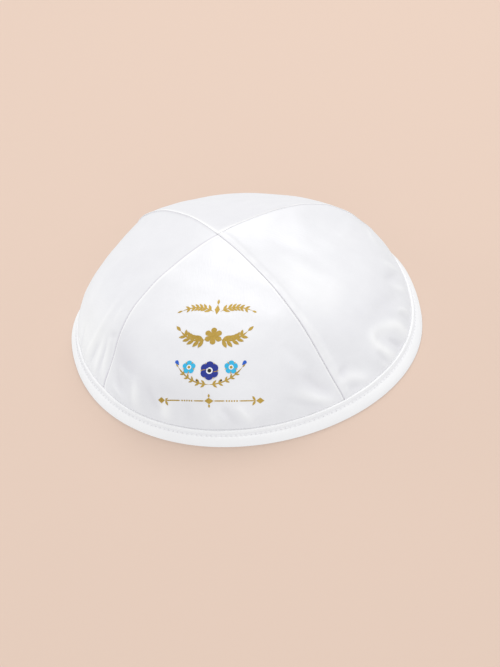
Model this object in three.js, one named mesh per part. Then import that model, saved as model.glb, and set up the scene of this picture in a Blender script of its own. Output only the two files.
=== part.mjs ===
// A soft satin skullcap of four sewn panels, with a folded binding round its rim.
// Millimetres, +Z up. The cap rests on its rim on the plane z = 0, the centre of the rim is
// the origin, and the front panel faces -Y.
//
// Two numbers place a point of the cap. Its facing is an angle about +Z in degrees, counted
// anticlockwise from +X. Its climb is how far up the cap it lies, from 0 at the floor to 1 at
// the apex.

import * as THREE from 'three';

// Driving dimensions
const rimRadius = 85; // to the outside of the binding, at the floor
const crownHeight = 57.5; // from the floor to the top of the apex
const apexShiftX = -7.4; // the soft crown sags a little to one side, and to the front
const apexShiftY = -1.9;
const panelWall = 1.2; // satin, stiffening and lining, sewn together as one cloth
const seamGap = 0.3; // between the edges of two panels
const bindingCloth = 0.7; // one leg of the folded binding
const bindingGap = 0.3; // between the binding and the panels that it holds
const bindingWidth = 9; // outside leg, measured up the wall
const bindingInsideWidth = 8.8; // inside leg, measured up the wall
const bindingPuff = 0.35; // how far the band swells between its fold, its stitches and its lip
const foldRadius = 0.7; // the two bottom folds of the binding
const swellWay = 8; // way up from the lip over which a panel swells out flush with the binding
const puckerDepth = 1.2; // of the deepest pucker

// Facets
const panelRows = 28; // from the apex down to the rim
const bindingSteps = 96; // round the rim

// Two profiles of the crown, from the rim to the apex, at even steps of climb: one along a seam
// and one up the middle of a panel. out is a share of rimRadius, up a share of crownHeight.
const seamProfile = [
  { out: 1.0, up: 0.0 },
  { out: 0.954, up: 0.175 },
  { out: 0.865, up: 0.386 },
  { out: 0.761, up: 0.62 },
  { out: 0.597, up: 0.811 },
  { out: 0.349, up: 0.942 },
  { out: 0.0, up: 1.0 },
];
const middleProfile = [
  { out: 1.0, up: 0.0 },
  { out: 0.965, up: 0.143 },
  { out: 0.915, up: 0.323 },
  { out: 0.827, up: 0.518 },
  { out: 0.637, up: 0.697 },
  { out: 0.36, up: 0.859 },
  { out: 0.0, up: 1.0 },
];

// How the profile turns from the panel's middle to its seams: a high power keeps the panel
// round and puts the crease close to the seam.
const creasePower = 2.1;
// How fast the crown's sag builds up with height: below 1 it is held back near the rim.
const sagPower = 0.67;

// swell pushes the middle of a panel, or a seam, out from its profile at mid climb, as a share
// of crownHeight. drift bends a seam sideways there, in degrees.
const panels = [
  { name: 'panel_front', facing: -90, swell: 0.054 },
  { name: 'panel_right', facing: 0, swell: -0.021 },
  { name: 'panel_back', facing: 90, swell: -0.007 },
  { name: 'panel_left', facing: 180, swell: -0.019 },
];
const seams = [
  { facing: -135, swell: -0.053, drift: 0 },
  { facing: -45, swell: -0.009, drift: -1.3 },
  { facing: 45, swell: 0.062, drift: 0.2 },
  { facing: 135, swell: 0.02, drift: 10.2 },
];
const halfPanel = 45; // degrees from a panel's middle to its seams

// The rim isn't quite round. Each row is a wave of so many lobes, as a share of rimRadius.
const rimWaves = [
  { lobes: 2, height: 0.0167, crest: -72 },
  { lobes: 3, height: 0.0154, crest: -19 },
  { lobes: 4, height: 0.0049, crest: 0 },
];

// Places where the cap spreads: foot pushes the binding's foot out and wall the cloth above it,
// as shares of rimRadius. spread is half the width in degrees.
const flares = [
  { facing: 44, spread: 20, foot: 0.06, wall: 0.036 },
  { facing: 176, spread: 21, foot: 0.055, wall: 0.03 },
];
const footPower = 8; // how fast a flare's foot dies out up the wall
const wallClimb = 0.3; // where a flare's wall stands out most
const wallRise = 0.14; // half the height of that, as a share of the climb

// Puckers where the binding gathers the panels, and a few soft dents higher up. spread is half
// the width in degrees, rise half the height as a share of the climb, and depth a share of
// puckerDepth, less than 0 where the cloth stands out.
const puckers = [
  { facing: -162, climb: 0.36, spread: 5, rise: 0.14, depth: 0.6 },
  { facing: -153, climb: 0.33, spread: 4, rise: 0.12, depth: -0.5 },
  { facing: -144, climb: 0.42, spread: 4, rise: 0.16, depth: 0.8 },
  { facing: -125, climb: 0.25, spread: 5, rise: 0.06, depth: 0.6 },
  { facing: -117, climb: 0.27, spread: 4, rise: 0.06, depth: -0.5 },
  { facing: -108, climb: 0.25, spread: 4, rise: 0.06, depth: 0.5 },
  { facing: -60, climb: 0.34, spread: 5, rise: 0.09, depth: -0.6 },
  { facing: -52, climb: 0.3, spread: 4, rise: 0.09, depth: 0.8 },
  { facing: -36, climb: 0.26, spread: 4, rise: 0.07, depth: 0.7 },
  { facing: -27, climb: 0.28, spread: 4, rise: 0.07, depth: -0.5 },
  { facing: -18, climb: 0.38, spread: 5, rise: 0.1, depth: 0.9 },
  { facing: -5, climb: 0.37, spread: 4, rise: 0.1, depth: -0.5 },
  { facing: 8, climb: 0.44, spread: 6, rise: 0.1, depth: 0.8 },
  { facing: 33, climb: 0.64, spread: 9, rise: 0.1, depth: 1.0 },
  { facing: 78, climb: 0.32, spread: 6, rise: 0.1, depth: 0.6 },
  { facing: 118, climb: 0.3, spread: 5, rise: 0.1, depth: 0.6 },
  { facing: 165, climb: 0.33, spread: 6, rise: 0.1, depth: 0.6 },
];

// The outside of the binding, from its bottom fold up to its lip: the soft band, the line that
// its stitches pull in, and the turned-in edge. way is a share of bindingWidth, puff a share of
// bindingPuff.
const bandRows = [
  { way: 0.28, puff: 0.9 },
  { way: 0.48, puff: 0.9 },
  { way: 0.63, puff: 0.0 },
  { way: 0.76, puff: 0.1 },
  { way: 0.9, puff: 1.0 },
  { way: 1.0, puff: 0.3 },
];

// Worked out from the sizes
const tuck = bindingCloth + bindingGap; // how far a panel lies behind the outside of the binding
const seat = bindingCloth + bindingGap; // height of a panel's raw edge, inside the fold
const insideFaceDepth = tuck + panelWall + bindingGap; // of the inside leg, where it meets a panel
const insideDepth = insideFaceDepth + bindingCloth; // of the face that a head touches

const satin = { color: 0xf6f7fa, roughness: 0.42, metalness: 0 };
const bindingSatin = { color: 0xf9fafc, roughness: 0.38, metalness: 0 };

const { clamp, degToRad, euclideanModulo, lerp, smoothstep } = THREE.MathUtils;

// The turn in degrees from one facing to another, between -180 and 180.
function turn(from, to) {
  return euclideanModulo(to - from + 180, 360) - 180;
}

// The row of a table whose facing is nearest.
function nearest(rows, facing) {
  const away = (row) => Math.abs(turn(row.facing, facing));
  return rows.reduce((best, row) => (away(row) < away(best) ? row : best));
}

// A smooth curve through a profile's rows. A point added at each end only steers it: the wall
// runs on straight below the floor, and the apex is level.
function profileCurve(rows) {
  const points = rows.map((row) => new THREE.Vector2(row.out, row.up));
  const belowRim = points[0].clone().multiplyScalar(2).sub(points[1]);
  const pastApex = new THREE.Vector2(-points.at(-2).x, points.at(-2).y);
  return new THREE.SplineCurve([belowRim, ...points, pastApex]);
}

const seamCurve = profileCurve(seamProfile);
const middleCurve = profileCurve(middleProfile);
const profileSteps = seamProfile.length - 1;

// A profile's shares at a climb, past the steering point at the curve's start.
function profileAt(curve, climb) {
  return curve.getPoint((climb * profileSteps + 1) / (profileSteps + 2));
}

// How far the rim stands out of a true circle, as a share of its radius.
function rimWave(facing) {
  const wave = (row) => row.height * Math.cos(degToRad(row.lobes * (facing - row.crest)));
  return rimWaves.reduce((sum, row) => sum + wave(row), 0);
}

// How far the cap spreads at a facing and a climb, as a share of its reach.
function flareAt(facing, climb) {
  const foot = clamp(1 - climb, 0, 1) ** footPower;
  const wall = Math.exp(-(((climb - wallClimb) / wallRise) ** 2));
  return flares.reduce((sum, row) => {
    const near = Math.exp(-((turn(row.facing, facing) / row.spread) ** 2));
    return sum + near * (row.foot * foot + row.wall * wall);
  }, 0);
}

// A point on the outside of the cap, before puckers.
function crownPoint(facing, climb) {
  const panel = nearest(panels, facing);
  const seam = nearest(seams, facing);
  const crease = Math.abs(turn(panel.facing, facing) / halfPanel) ** creasePower;
  const share = profileAt(middleCurve, climb).lerp(profileAt(seamCurve, climb), crease);
  const arch = Math.sin(Math.PI * clamp(climb, 0, 1));
  const swell = lerp(panel.swell, seam.swell, crease) * arch * crownHeight;
  const outwards = share.clone().normalize();
  const up = share.y * crownHeight + swell * outwards.y;
  const out = share.x * rimRadius + swell * outwards.x;
  const wave = rimWave(facing) * clamp(1 - climb, 0, 1);
  const reach = out * (1 + wave + flareAt(facing, climb));
  const angle = degToRad(facing + seam.drift * crease * arch);
  const sag = 1 - (1 - clamp(up / crownHeight, 0, 1)) ** sagPower;
  return new THREE.Vector3(
    reach * Math.cos(angle) + sag * apexShiftX,
    reach * Math.sin(angle) + sag * apexShiftY,
    up,
  );
}

// The way that a seam or a line of the cloth runs up, and the way that it faces. Both are
// measured over a short step each way, so a seam gets the mean of its two panels.
const stepTurn = 0.5;
const stepClimb = 0.005;

function upwards(facing, climb) {
  const above = crownPoint(facing, climb + stepClimb);
  return above.sub(crownPoint(facing, climb - stepClimb)).normalize();
}

function outwardsAt(facing, climb) {
  if (climb > 1 - stepClimb) return new THREE.Vector3(0, 0, 1);
  const across = crownPoint(facing + stepTurn, climb).sub(crownPoint(facing - stepTurn, climb));
  return across.cross(upwards(facing, climb)).normalize();
}

// A point at a depth behind the outside of the cap.
function skinPoint(facing, climb, depth) {
  const point = crownPoint(facing, climb);
  return point.addScaledVector(outwardsAt(facing, climb), -depth);
}

// The climb at which the face at a depth reaches a height above the floor.
function climbAtHeight(facing, depth, height) {
  let low = 0;
  let high = 0.5;
  while (high - low > 1e-6) {
    const middle = (low + high) / 2;
    if (skinPoint(facing, middle, depth).z > height) high = middle;
    else low = middle;
  }
  return high;
}

// The way up the wall in millimetres from one climb to another.
function wayBetween(facing, from, to) {
  const chords = 12;
  let way = 0;
  for (let i = 0; i < chords; i += 1) {
    const start = crownPoint(facing, lerp(from, to, i / chords));
    way += start.distanceTo(crownPoint(facing, lerp(from, to, (i + 1) / chords)));
  }
  return way;
}

// The climb that lies a way in millimetres above another climb.
function climbAfter(facing, from, way) {
  let low = from;
  let high = 1;
  while (high - low > 1e-5) {
    const middle = (low + high) / 2;
    if (wayBetween(facing, from, middle) > way) high = middle;
    else low = middle;
  }
  return high;
}

// How far the cloth of a panel lies behind the outside of the cap: tucked under the binding up
// to its lip, swelling out above it, and dented by the puckers.
function panelDepth(facing, climb) {
  const aboveLip = wayBetween(facing, 0, climb) - bindingWidth;
  const free = smoothstep(aboveLip, 0, swellWay);
  const dent = puckers.reduce((sum, row) => {
    const across = turn(row.facing, facing) / row.spread;
    const along = (climb - row.climb) / row.rise;
    return sum + row.depth * Math.exp(-across * across - along * along);
  }, 0);
  return tuck * (1 - free) + puckerDepth * dent * free;
}

// A point of a panel on its triangular grid: row 0 is the tip at the apex, and row r has r + 1
// points. wall is 0 on the outside and panelWall on the inside.
function panelPoint(panel, row, column, wall) {
  const middleward = row === 0 ? 0 : 1 - (2 * column) / row;
  const facing = panel.facing - halfPanel * middleward;
  const start = climbAtHeight(facing, tuck + wall, seat);
  const climb = lerp(start, 1, 1 - row / panelRows);
  const point = skinPoint(facing, climb, panelDepth(facing, climb) + wall);
  if (row === panelRows) point.z = seat;
  if (row === 0) {
    // Two seams meet at the tip, so it draws back from both.
    const angle = degToRad(panel.facing);
    const back = seamGap / 2 / Math.sin(degToRad(halfPanel));
    return point.add(new THREE.Vector3(Math.cos(angle), Math.sin(angle), 0).multiplyScalar(back));
  }
  if (column === 0 || column === row) {
    // The edge stands off the seam by half the gap, square to the seam's own mean plane.
    const across = upwards(facing, climb).cross(outwardsAt(facing, climb));
    return point.addScaledVector(across, (middleward * seamGap) / 2);
  }
  return point;
}

function geometryFrom(points, triangles) {
  const geometry = new THREE.BufferGeometry();
  const numbers = points.flatMap((point) => point.toArray());
  geometry.setAttribute('position', new THREE.Float32BufferAttribute(numbers, 3));
  geometry.setIndex(triangles.flat());
  geometry.computeVertexNormals();
  return geometry;
}

// One closed wall of cloth: the outside, the inside, two seam edges and the raw bottom edge.
function panelGeometry(panel) {
  const outside = [];
  const inside = [];
  for (let row = 0; row <= panelRows; row += 1) {
    for (let column = 0; column <= row; column += 1) {
      outside.push(panelPoint(panel, row, column, 0));
      inside.push(panelPoint(panel, row, column, panelWall));
    }
  }
  const count = outside.length;
  const at = (row, column) => (row * (row + 1)) / 2 + column;
  const triangles = [];
  const addBoth = (a, b, c) => triangles.push([a, b, c], [a + count, c + count, b + count]);
  const addEdge = (a, b) => triangles.push([a, a + count, b + count], [a, b + count, b]);
  for (let row = 0; row < panelRows; row += 1) {
    for (let column = 0; column <= row; column += 1) {
      addBoth(at(row, column), at(row + 1, column), at(row + 1, column + 1));
      if (column < row) addBoth(at(row, column), at(row + 1, column + 1), at(row, column + 1));
    }
    addEdge(at(row, 0), at(row + 1, 0));
    addEdge(at(row + 1, row + 1), at(row, row));
  }
  for (let column = 0; column < panelRows; column += 1) {
    addEdge(at(panelRows, column), at(panelRows, column + 1));
  }
  return geometryFrom([...outside, ...inside], triangles);
}

// The rounded bottom fold of the binding at one corner, from the flat underside to the wall.
function foldPoints(corner, across, upTheWall) {
  const underside = corner.clone().add(across.clone().setLength(foldRadius));
  const fold = new THREE.QuadraticBezierCurve3(underside, corner, upTheWall);
  return fold.getPoints(2);
}

// The binding's cross-section at a facing, as a closed loop: up the outside from the underside,
// over the lip, down into the channel that holds the panels, up and over the inside leg, and
// down to the underside again.
function bindingSection(facing) {
  const pointOn = (depth, height, way, puff = 0) => {
    const climb = climbAfter(facing, climbAtHeight(facing, depth, height), way);
    return skinPoint(facing, climb, depth - puff);
  };
  const cornerOn = (depth, height) => {
    const corner = skinPoint(facing, climbAtHeight(facing, depth, height), depth);
    return corner.setZ(height);
  };
  const outsideCorner = cornerOn(0, 0);
  const insideCorner = cornerOn(insideDepth, 0);
  const inwards = insideCorner.clone().sub(outsideCorner);
  const outwards = inwards.clone().negate();
  const outsideFold = foldPoints(outsideCorner, inwards, pointOn(0, 0, foldRadius));
  const insideFold = foldPoints(insideCorner, outwards, pointOn(insideDepth, 0, foldRadius));
  const band = bandRows.map((row) =>
    pointOn(0, 0, row.way * bindingWidth, row.puff * bindingPuff),
  );
  return [
    ...outsideFold,
    ...band,
    pointOn(bindingCloth, 0, bindingWidth),
    pointOn(bindingCloth, 0, bindingWidth / 2),
    cornerOn(bindingCloth, bindingCloth),
    cornerOn(insideFaceDepth, bindingCloth),
    pointOn(insideFaceDepth, 0, bindingInsideWidth / 2),
    pointOn(insideFaceDepth, 0, bindingInsideWidth),
    pointOn(insideDepth, 0, bindingInsideWidth),
    pointOn(insideDepth, 0, bindingInsideWidth / 2),
    ...insideFold.reverse(),
  ];
}

function bindingGeometry() {
  const sections = [];
  for (let step = 0; step < bindingSteps; step += 1) {
    sections.push(bindingSection((360 * step) / bindingSteps));
  }
  const size = sections[0].length;
  const at = (step, place) => (step % bindingSteps) * size + (place % size);
  const triangles = [];
  for (let step = 0; step < bindingSteps; step += 1) {
    for (let place = 0; place < size; place += 1) {
      const corner = at(step, place);
      const opposite = at(step + 1, place + 1);
      triangles.push([corner, at(step + 1, place), opposite]);
      triangles.push([corner, opposite, at(step, place + 1)]);
    }
  }
  return geometryFrom(sections.flat(), triangles);
}

function namedMesh(name, geometry, finish) {
  const mesh = new THREE.Mesh(geometry, new THREE.MeshStandardMaterial(finish));
  mesh.name = name;
  return mesh;
}

const skullcap = new THREE.Group();
for (const panel of panels) {
  skullcap.add(namedMesh(panel.name, panelGeometry(panel), satin));
}
const binding = namedMesh('rim_binding', bindingGeometry(), bindingSatin);
skullcap.add(binding);

// The rim isn't round, so the middle of its outline is brought to the origin.
const rimMiddle = new THREE.Box3().setFromObject(binding).getCenter(new THREE.Vector3());
skullcap.position.set(-rimMiddle.x, -rimMiddle.y, 0);

export default skullcap;
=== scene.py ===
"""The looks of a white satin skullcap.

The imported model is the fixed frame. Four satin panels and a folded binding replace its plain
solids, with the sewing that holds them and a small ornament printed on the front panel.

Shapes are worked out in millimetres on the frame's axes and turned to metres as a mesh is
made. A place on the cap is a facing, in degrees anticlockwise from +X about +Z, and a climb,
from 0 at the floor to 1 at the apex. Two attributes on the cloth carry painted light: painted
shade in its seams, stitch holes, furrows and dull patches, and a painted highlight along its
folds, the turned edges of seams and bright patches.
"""

from __future__ import annotations

import logging
import math
from dataclasses import dataclass, field, replace
from enum import Enum

import bpy
import numpy as np
from mathutils import Matrix, Vector


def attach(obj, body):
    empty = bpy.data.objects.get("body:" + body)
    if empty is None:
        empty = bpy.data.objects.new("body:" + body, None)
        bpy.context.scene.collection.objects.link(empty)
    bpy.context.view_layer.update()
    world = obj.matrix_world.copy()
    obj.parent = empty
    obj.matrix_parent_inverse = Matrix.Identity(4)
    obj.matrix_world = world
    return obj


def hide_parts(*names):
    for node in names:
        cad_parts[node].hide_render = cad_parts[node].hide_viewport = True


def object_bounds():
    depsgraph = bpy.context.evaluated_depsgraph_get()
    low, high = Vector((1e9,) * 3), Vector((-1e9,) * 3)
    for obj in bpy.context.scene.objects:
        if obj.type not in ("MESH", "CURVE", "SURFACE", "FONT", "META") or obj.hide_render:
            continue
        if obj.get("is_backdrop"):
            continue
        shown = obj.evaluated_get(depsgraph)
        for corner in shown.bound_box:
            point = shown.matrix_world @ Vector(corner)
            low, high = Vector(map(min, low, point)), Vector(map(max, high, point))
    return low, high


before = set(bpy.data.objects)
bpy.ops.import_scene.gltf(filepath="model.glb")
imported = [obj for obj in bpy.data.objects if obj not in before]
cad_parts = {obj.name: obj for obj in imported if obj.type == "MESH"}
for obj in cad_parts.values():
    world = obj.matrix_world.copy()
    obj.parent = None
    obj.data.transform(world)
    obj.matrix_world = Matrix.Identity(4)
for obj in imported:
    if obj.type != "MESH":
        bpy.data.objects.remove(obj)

Numbers = np.ndarray
METRES = 0.001  # of one millimetre
CLOTH_MAP = "cloth"  # UV map in metres along and up the cloth
SHADE = "fold_shade"  # attribute: painted shade, darkest deep in a seam, a stitch hole, a furrow or a dull patch
PAINTED_HIGHLIGHT = "gleam"  # attribute: how much painted highlight the cloth has

log = logging.getLogger("skullcap")


def linear(hex_colour: str) -> tuple[float, float, float, float]:
    """Turns an sRGB hex colour to the linear colour that a shader's socket takes.

    Args:
        hex_colour: A colour such as "#f4f5f9".

    Returns:
        Linear red, green and blue, and an alpha of 1.
    """
    shares = [int(hex_colour[place : place + 2], 16) / 255 for place in (1, 3, 5)]
    low = [share / 12.92 for share in shares]
    high = [((share + 0.055) / 1.055) ** 2.4 for share in shares]
    red, green, blue = (
        dark if share <= 0.04045 else bright
        for share, dark, bright in zip(shares, low, high)
    )
    return red, green, blue, 1.0


def add_node(
    tree: bpy.types.NodeTree,
    kind: str,
    values: dict | None = None,
    links: dict | None = None,
    **settings: object,
) -> bpy.types.Node:
    """Adds one node to a tree.

    Args:
        tree: The tree that the node goes in.
        kind: The node's type name.
        values: Socket values, by the socket's name or number.
        links: The outputs that feed the node's inputs, by name or number.
        settings: The node's own properties.

    Returns:
        The new node.
    """
    node = tree.nodes.new(kind)
    for name, setting in settings.items():
        setattr(node, name, setting)
    for socket, value in (values or {}).items():
        node.inputs[socket].default_value = value
    for socket, source in (links or {}).items():
        tree.links.new(source, node.inputs[socket])
    return node


def new_shader(name: str, values: dict) -> tuple[bpy.types.Material, bpy.types.Node]:
    """Makes a material and sets its shader's sockets.

    Args:
        name: The material's name.
        values: Socket values, by name.

    Returns:
        The material and its shader node.
    """
    material = bpy.data.materials.new(name)
    material.use_nodes = True
    shader = material.node_tree.nodes["Principled BSDF"]
    for socket, value in values.items():
        shader.inputs[socket].default_value = value
    return material, shader


def new_tree(name: str, inputs: dict[str, str]) -> bpy.types.NodeTree:
    """Makes a Geometry Nodes tree with named inputs.

    Args:
        name: The tree's name.
        inputs: The kind of each input after the geometry, by the input's name.

    Returns:
        The tree, still without nodes.
    """
    tree = bpy.data.node_groups.new(name, "GeometryNodeTree")
    for label, kind in {"Geometry": "Geometry", **inputs}.items():
        tree.interface.new_socket(label, in_out="INPUT", socket_type=f"NodeSocket{kind}")
    tree.interface.new_socket("Geometry", in_out="OUTPUT", socket_type="NodeSocketGeometry")
    return tree


def linked(name: str, data: bpy.types.ID) -> bpy.types.Object:
    """Makes an object and links it to the scene.

    Args:
        name: The object's name.
        data: Its mesh, light or camera.

    Returns:
        The object.
    """
    thing = bpy.data.objects.new(name, data)
    bpy.context.collection.objects.link(thing)
    return thing


def smooth_share(value: Numbers, low: float, high: float) -> Numbers:
    """Eases from 0 at low to 1 at high."""
    share = np.clip((value - low) / (high - low), 0, 1)
    return share * share * (3 - 2 * share)


def turn(start: Numbers, end: Numbers) -> Numbers:
    """Gives the turn in degrees from one facing to another, between -180 and 180."""
    return np.mod(end - start + 180, 360) - 180


def lengths(vectors: Numbers) -> Numbers:
    """Gives the length of each vector in the last axis."""
    return np.linalg.norm(vectors, axis=-1)


def unit(vectors: Numbers) -> Numbers:
    """Scales each vector in the last axis to a length of 1."""
    return vectors / np.maximum(lengths(vectors), 1e-9)[..., None]


def running_way(points: Numbers) -> Numbers:
    """Adds up the chords along the second axis of rows of points.

    Args:
        points: Rows of points, with the coordinates in the last axis.

    Returns:
        The way in millimetres from each row's first point to each of its points.
    """
    steps = lengths(np.diff(points, axis=1))
    start = np.zeros((len(points), 1))
    return np.concatenate([start, np.cumsum(steps, axis=1)], axis=1)


class Side(Enum):
    """A side of a seam, seen from above."""

    ANTICLOCKWISE = 1
    CLOCKWISE = -1


ANTICLOCKWISE, CLOCKWISE = Side.ANTICLOCKWISE, Side.CLOCKWISE


@dataclass(frozen=True)
class Seam:
    """A seam from the rim to the apex."""

    facing: float
    swell: float  # share of the crown's height that it stands out at mid climb
    drift: float  # degrees that it bends sideways at mid climb
    pressed: Side
    ridge: float  # millimetres that the pressed allowance lifts the panel
    plateau: float  # 1 where the allowance's edge shows, 0 where it fades away
    dip: float  # millimetres that the edges turn into the seam
    reach: float  # how far from the seam they begin to turn, and its painted shade ends
    shade: float  # how dark the painted shade along the seam is
    lit: Side  # the side whose turned edge gets a painted highlight
    lit_width: float  # millimetres, the width of that painted highlight


@dataclass(frozen=True)
class Hollow:
    """A soft dent, or a swelling where its depth is below 0."""

    facing: float
    climb: float
    spread: float  # half its width in degrees
    rise: float  # half its height as a share of the climb
    depth: float  # share of the deepest pucker


@dataclass(frozen=True)
class Flare:
    """A place where the cap spreads, in shares of the rim's radius."""

    facing: float
    spread: float
    foot: float
    wall: float


@dataclass(frozen=True)
class Wave:
    """A wave of the rim out of a true circle, as a share of its radius."""

    lobes: int
    height: float
    crest: float


@dataclass(frozen=True)
class CapForm:
    """The outside of the cap before any small fold, as the part's source draws it."""

    rim_radius: float = 85.0
    crown_height: float = 57.5
    apex_shift_x: float = -7.4
    apex_shift_y: float = -1.9
    panel_wall: float = 1.2
    binding_cloth: float = 0.7
    binding_gap: float = 0.3
    binding_width: float = 9.0
    fold_radius: float = 0.7
    swell_way: float = 8.0
    pucker_depth: float = 1.2
    crease_power: float = 2.1
    sag_power: float = 0.67
    half_panel: float = 45.0
    foot_power: float = 8.0
    wall_climb: float = 0.3
    wall_rise: float = 0.14
    centre_x: float = 1.4625  # brings the middle of the rim's outline to the origin
    centre_y: float = -1.0033
    # Shares of the rim's radius and of the crown's height at even steps of climb. The first
    # row only steers the curve below the rim, and the last one past the apex.
    seam_profile: tuple = (
        (1.046, -0.175),
        (1.0, 0.0),
        (0.954, 0.175),
        (0.865, 0.386),
        (0.761, 0.62),
        (0.597, 0.811),
        (0.349, 0.942),
        (0.0, 1.0),
        (-0.349, 0.942),
    )
    middle_profile: tuple = (
        (1.035, -0.143),
        (1.0, 0.0),
        (0.965, 0.143),
        (0.915, 0.323),
        (0.827, 0.518),
        (0.637, 0.697),
        (0.36, 0.859),
        (0.0, 1.0),
        (-0.36, 0.859),
    )
    panel_swells: tuple = (-0.021, -0.007, -0.019, 0.054)  # right, back, left, front
    seams: tuple = (
        Seam(45, 0.062, 0.2, ANTICLOCKWISE, 0.2, 0.2, 0.06, 0.3, 0.15, ANTICLOCKWISE, 2.2),
        Seam(135, 0.02, 10.2, CLOCKWISE, 0.3, 0.2, 0.07, 0.3, 0.2, CLOCKWISE, 1.5),
        Seam(-135, -0.053, 0.0, ANTICLOCKWISE, 0.06, 0.3, 0.1, 1.2, 1.0, ANTICLOCKWISE, 0.8),
        Seam(-45, -0.009, -1.3, ANTICLOCKWISE, 0.4, 1.0, 0.1, 0.55, 0.6, CLOCKWISE, 0.6),
    )
    waves: tuple = (
        Wave(2, 0.0167, -72),
        Wave(3, 0.0154, -19),
        Wave(4, 0.0049, 0),
    )
    flares: tuple = (
        Flare(44, 20, 0.06, 0.036),
        Flare(176, 21, 0.055, 0.03),
    )
    hollows: tuple = (
        Hollow(-162, 0.36, 5, 0.14, 0.6),
        Hollow(-153, 0.33, 4, 0.12, -0.5),
        Hollow(-144, 0.42, 4, 0.16, 0.8),
        Hollow(-125, 0.25, 5, 0.06, 0.6),
        Hollow(-117, 0.27, 4, 0.06, -0.5),
        Hollow(-108, 0.25, 4, 0.06, 0.5),
        Hollow(-60, 0.34, 5, 0.09, -0.6),
        Hollow(-52, 0.3, 4, 0.09, 0.8),
        Hollow(-36, 0.26, 4, 0.07, 0.7),
        Hollow(-27, 0.28, 4, 0.07, -0.5),
        Hollow(-18, 0.38, 5, 0.1, 0.9),
        Hollow(-5, 0.37, 4, 0.1, -0.5),
        Hollow(8, 0.44, 6, 0.1, 0.8),
        Hollow(33, 0.64, 9, 0.1, 1.0),
        Hollow(78, 0.32, 6, 0.1, 0.6),
        Hollow(118, 0.3, 5, 0.1, 0.6),
        Hollow(165, 0.33, 6, 0.1, 0.6),
    )

    @property
    def tuck(self) -> float:
        """How far a panel lies behind the outside of the binding."""
        return self.binding_cloth + self.binding_gap

    @property
    def seat(self) -> float:
        """The height of a panel's raw edge inside the binding's fold."""
        return self.binding_cloth + self.binding_gap

    def profile(self, rows: tuple, climb: Numbers) -> Numbers:
        """Reads a smooth curve through a profile's rows.

        Args:
            rows: The profile, with a steering row at each end.
            climb: Climbs from 0 to 1.

        Returns:
            The shares of radius and height at each climb.
        """
        points = np.array(rows)
        last = len(points) - 1
        place = climb * (last - 2) + 1
        index = np.clip(np.floor(place).astype(int), 0, last)
        t = (place - index)[..., None]
        before = points[np.maximum(index - 1, 0)]
        start = points[index]
        end = points[np.minimum(index + 1, last)]
        after = points[np.minimum(index + 2, last)]
        leave = (end - before) / 2
        arrive = (after - start) / 2
        cubic = 2 * start - 2 * end + leave + arrive
        square = -3 * start + 3 * end - 2 * leave - arrive
        return cubic * t**3 + square * t**2 + leave * t + start

    def crown_point(self, facing: Numbers, climb: Numbers) -> Numbers:
        """Gives points on the outside of the cap.

        Args:
            facing: Facings in degrees.
            climb: Climbs, of the same shape.

        Returns:
            Points in millimetres, in the last axis.
        """
        panel_turn = np.round(facing / 90)
        seam_turn = np.floor(facing / 90)
        swells = np.array(self.panel_swells)
        by_quarter = sorted(self.seams, key=lambda seam: seam.facing % 360)
        seam_swells = np.array([seam.swell for seam in by_quarter])
        drifts = np.array([seam.drift for seam in by_quarter])
        panel_swell = swells[np.mod(panel_turn, 4).astype(int)]
        seam_index = np.mod(seam_turn, 4).astype(int)
        away = np.abs(turn(panel_turn * 90, facing)) / self.half_panel
        crease = away**self.crease_power
        blend = crease[..., None]
        middle = self.profile(self.middle_profile, climb)
        share = middle * (1 - blend) + self.profile(self.seam_profile, climb) * blend
        arch = np.sin(math.pi * np.clip(climb, 0, 1))
        swell = panel_swell * (1 - crease) + seam_swells[seam_index] * crease
        push = (swell * arch * self.crown_height)[..., None] * unit(share)
        up = share[..., 1] * self.crown_height + push[..., 1]
        out = share[..., 0] * self.rim_radius + push[..., 0]
        low = np.clip(1 - climb, 0, 1)
        wave = sum(w.height * np.cos(np.radians(w.lobes * (facing - w.crest))) for w in self.waves)
        reach = out * (1 + wave * low + self.flare(facing, climb))
        angle = np.radians(facing + drifts[seam_index] * crease * arch)
        sag = 1 - (1 - np.clip(up / self.crown_height, 0, 1)) ** self.sag_power
        along_x = reach * np.cos(angle) + sag * self.apex_shift_x + self.centre_x
        along_y = reach * np.sin(angle) + sag * self.apex_shift_y + self.centre_y
        return np.stack([along_x, along_y, up], axis=-1)

    def flare(self, facing: Numbers, climb: Numbers) -> Numbers:
        """Gives how far the cap spreads, as a share of its reach.

        Args:
            facing: Facings in degrees.
            climb: Climbs, of the same shape.

        Returns:
            The share at each point.
        """
        foot = np.clip(1 - climb, 0, 1) ** self.foot_power
        wall = np.exp(-(((climb - self.wall_climb) / self.wall_rise) ** 2))
        total = np.zeros_like(foot)
        for row in self.flares:
            near = np.exp(-((turn(row.facing, facing) / row.spread) ** 2))
            total = total + near * (row.foot * foot + row.wall * wall)
        return total

    def upwards(self, facing: Numbers, climb: Numbers) -> Numbers:
        """Gives the way that the cloth runs up, over a short step each way.

        Args:
            facing: Facings in degrees.
            climb: Climbs, of the same shape.

        Returns:
            Unit vectors.
        """
        step = 0.005
        above = self.crown_point(facing, climb + step)
        return unit(above - self.crown_point(facing, climb - step))

    def outwards(self, facing: Numbers, climb: Numbers) -> Numbers:
        """Gives the way that the cloth faces, straight up at the apex.

        Args:
            facing: Facings in degrees.
            climb: Climbs, of the same shape.

        Returns:
            Unit vectors.
        """
        step = 0.5
        across = self.crown_point(facing + step, climb) - self.crown_point(facing - step, climb)
        normal = unit(np.cross(across, self.upwards(facing, climb)))
        top = (climb > 0.995)[..., None]
        return np.where(top, np.array([0.0, 0.0, 1.0]), normal)

    def skin_point(self, facing: Numbers, climb: Numbers, depth: Numbers) -> Numbers:
        """Gives points at a depth behind the outside of the cap."""
        normal = self.outwards(facing, climb)
        return self.crown_point(facing, climb) - normal * np.asarray(depth)[..., None]

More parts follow.
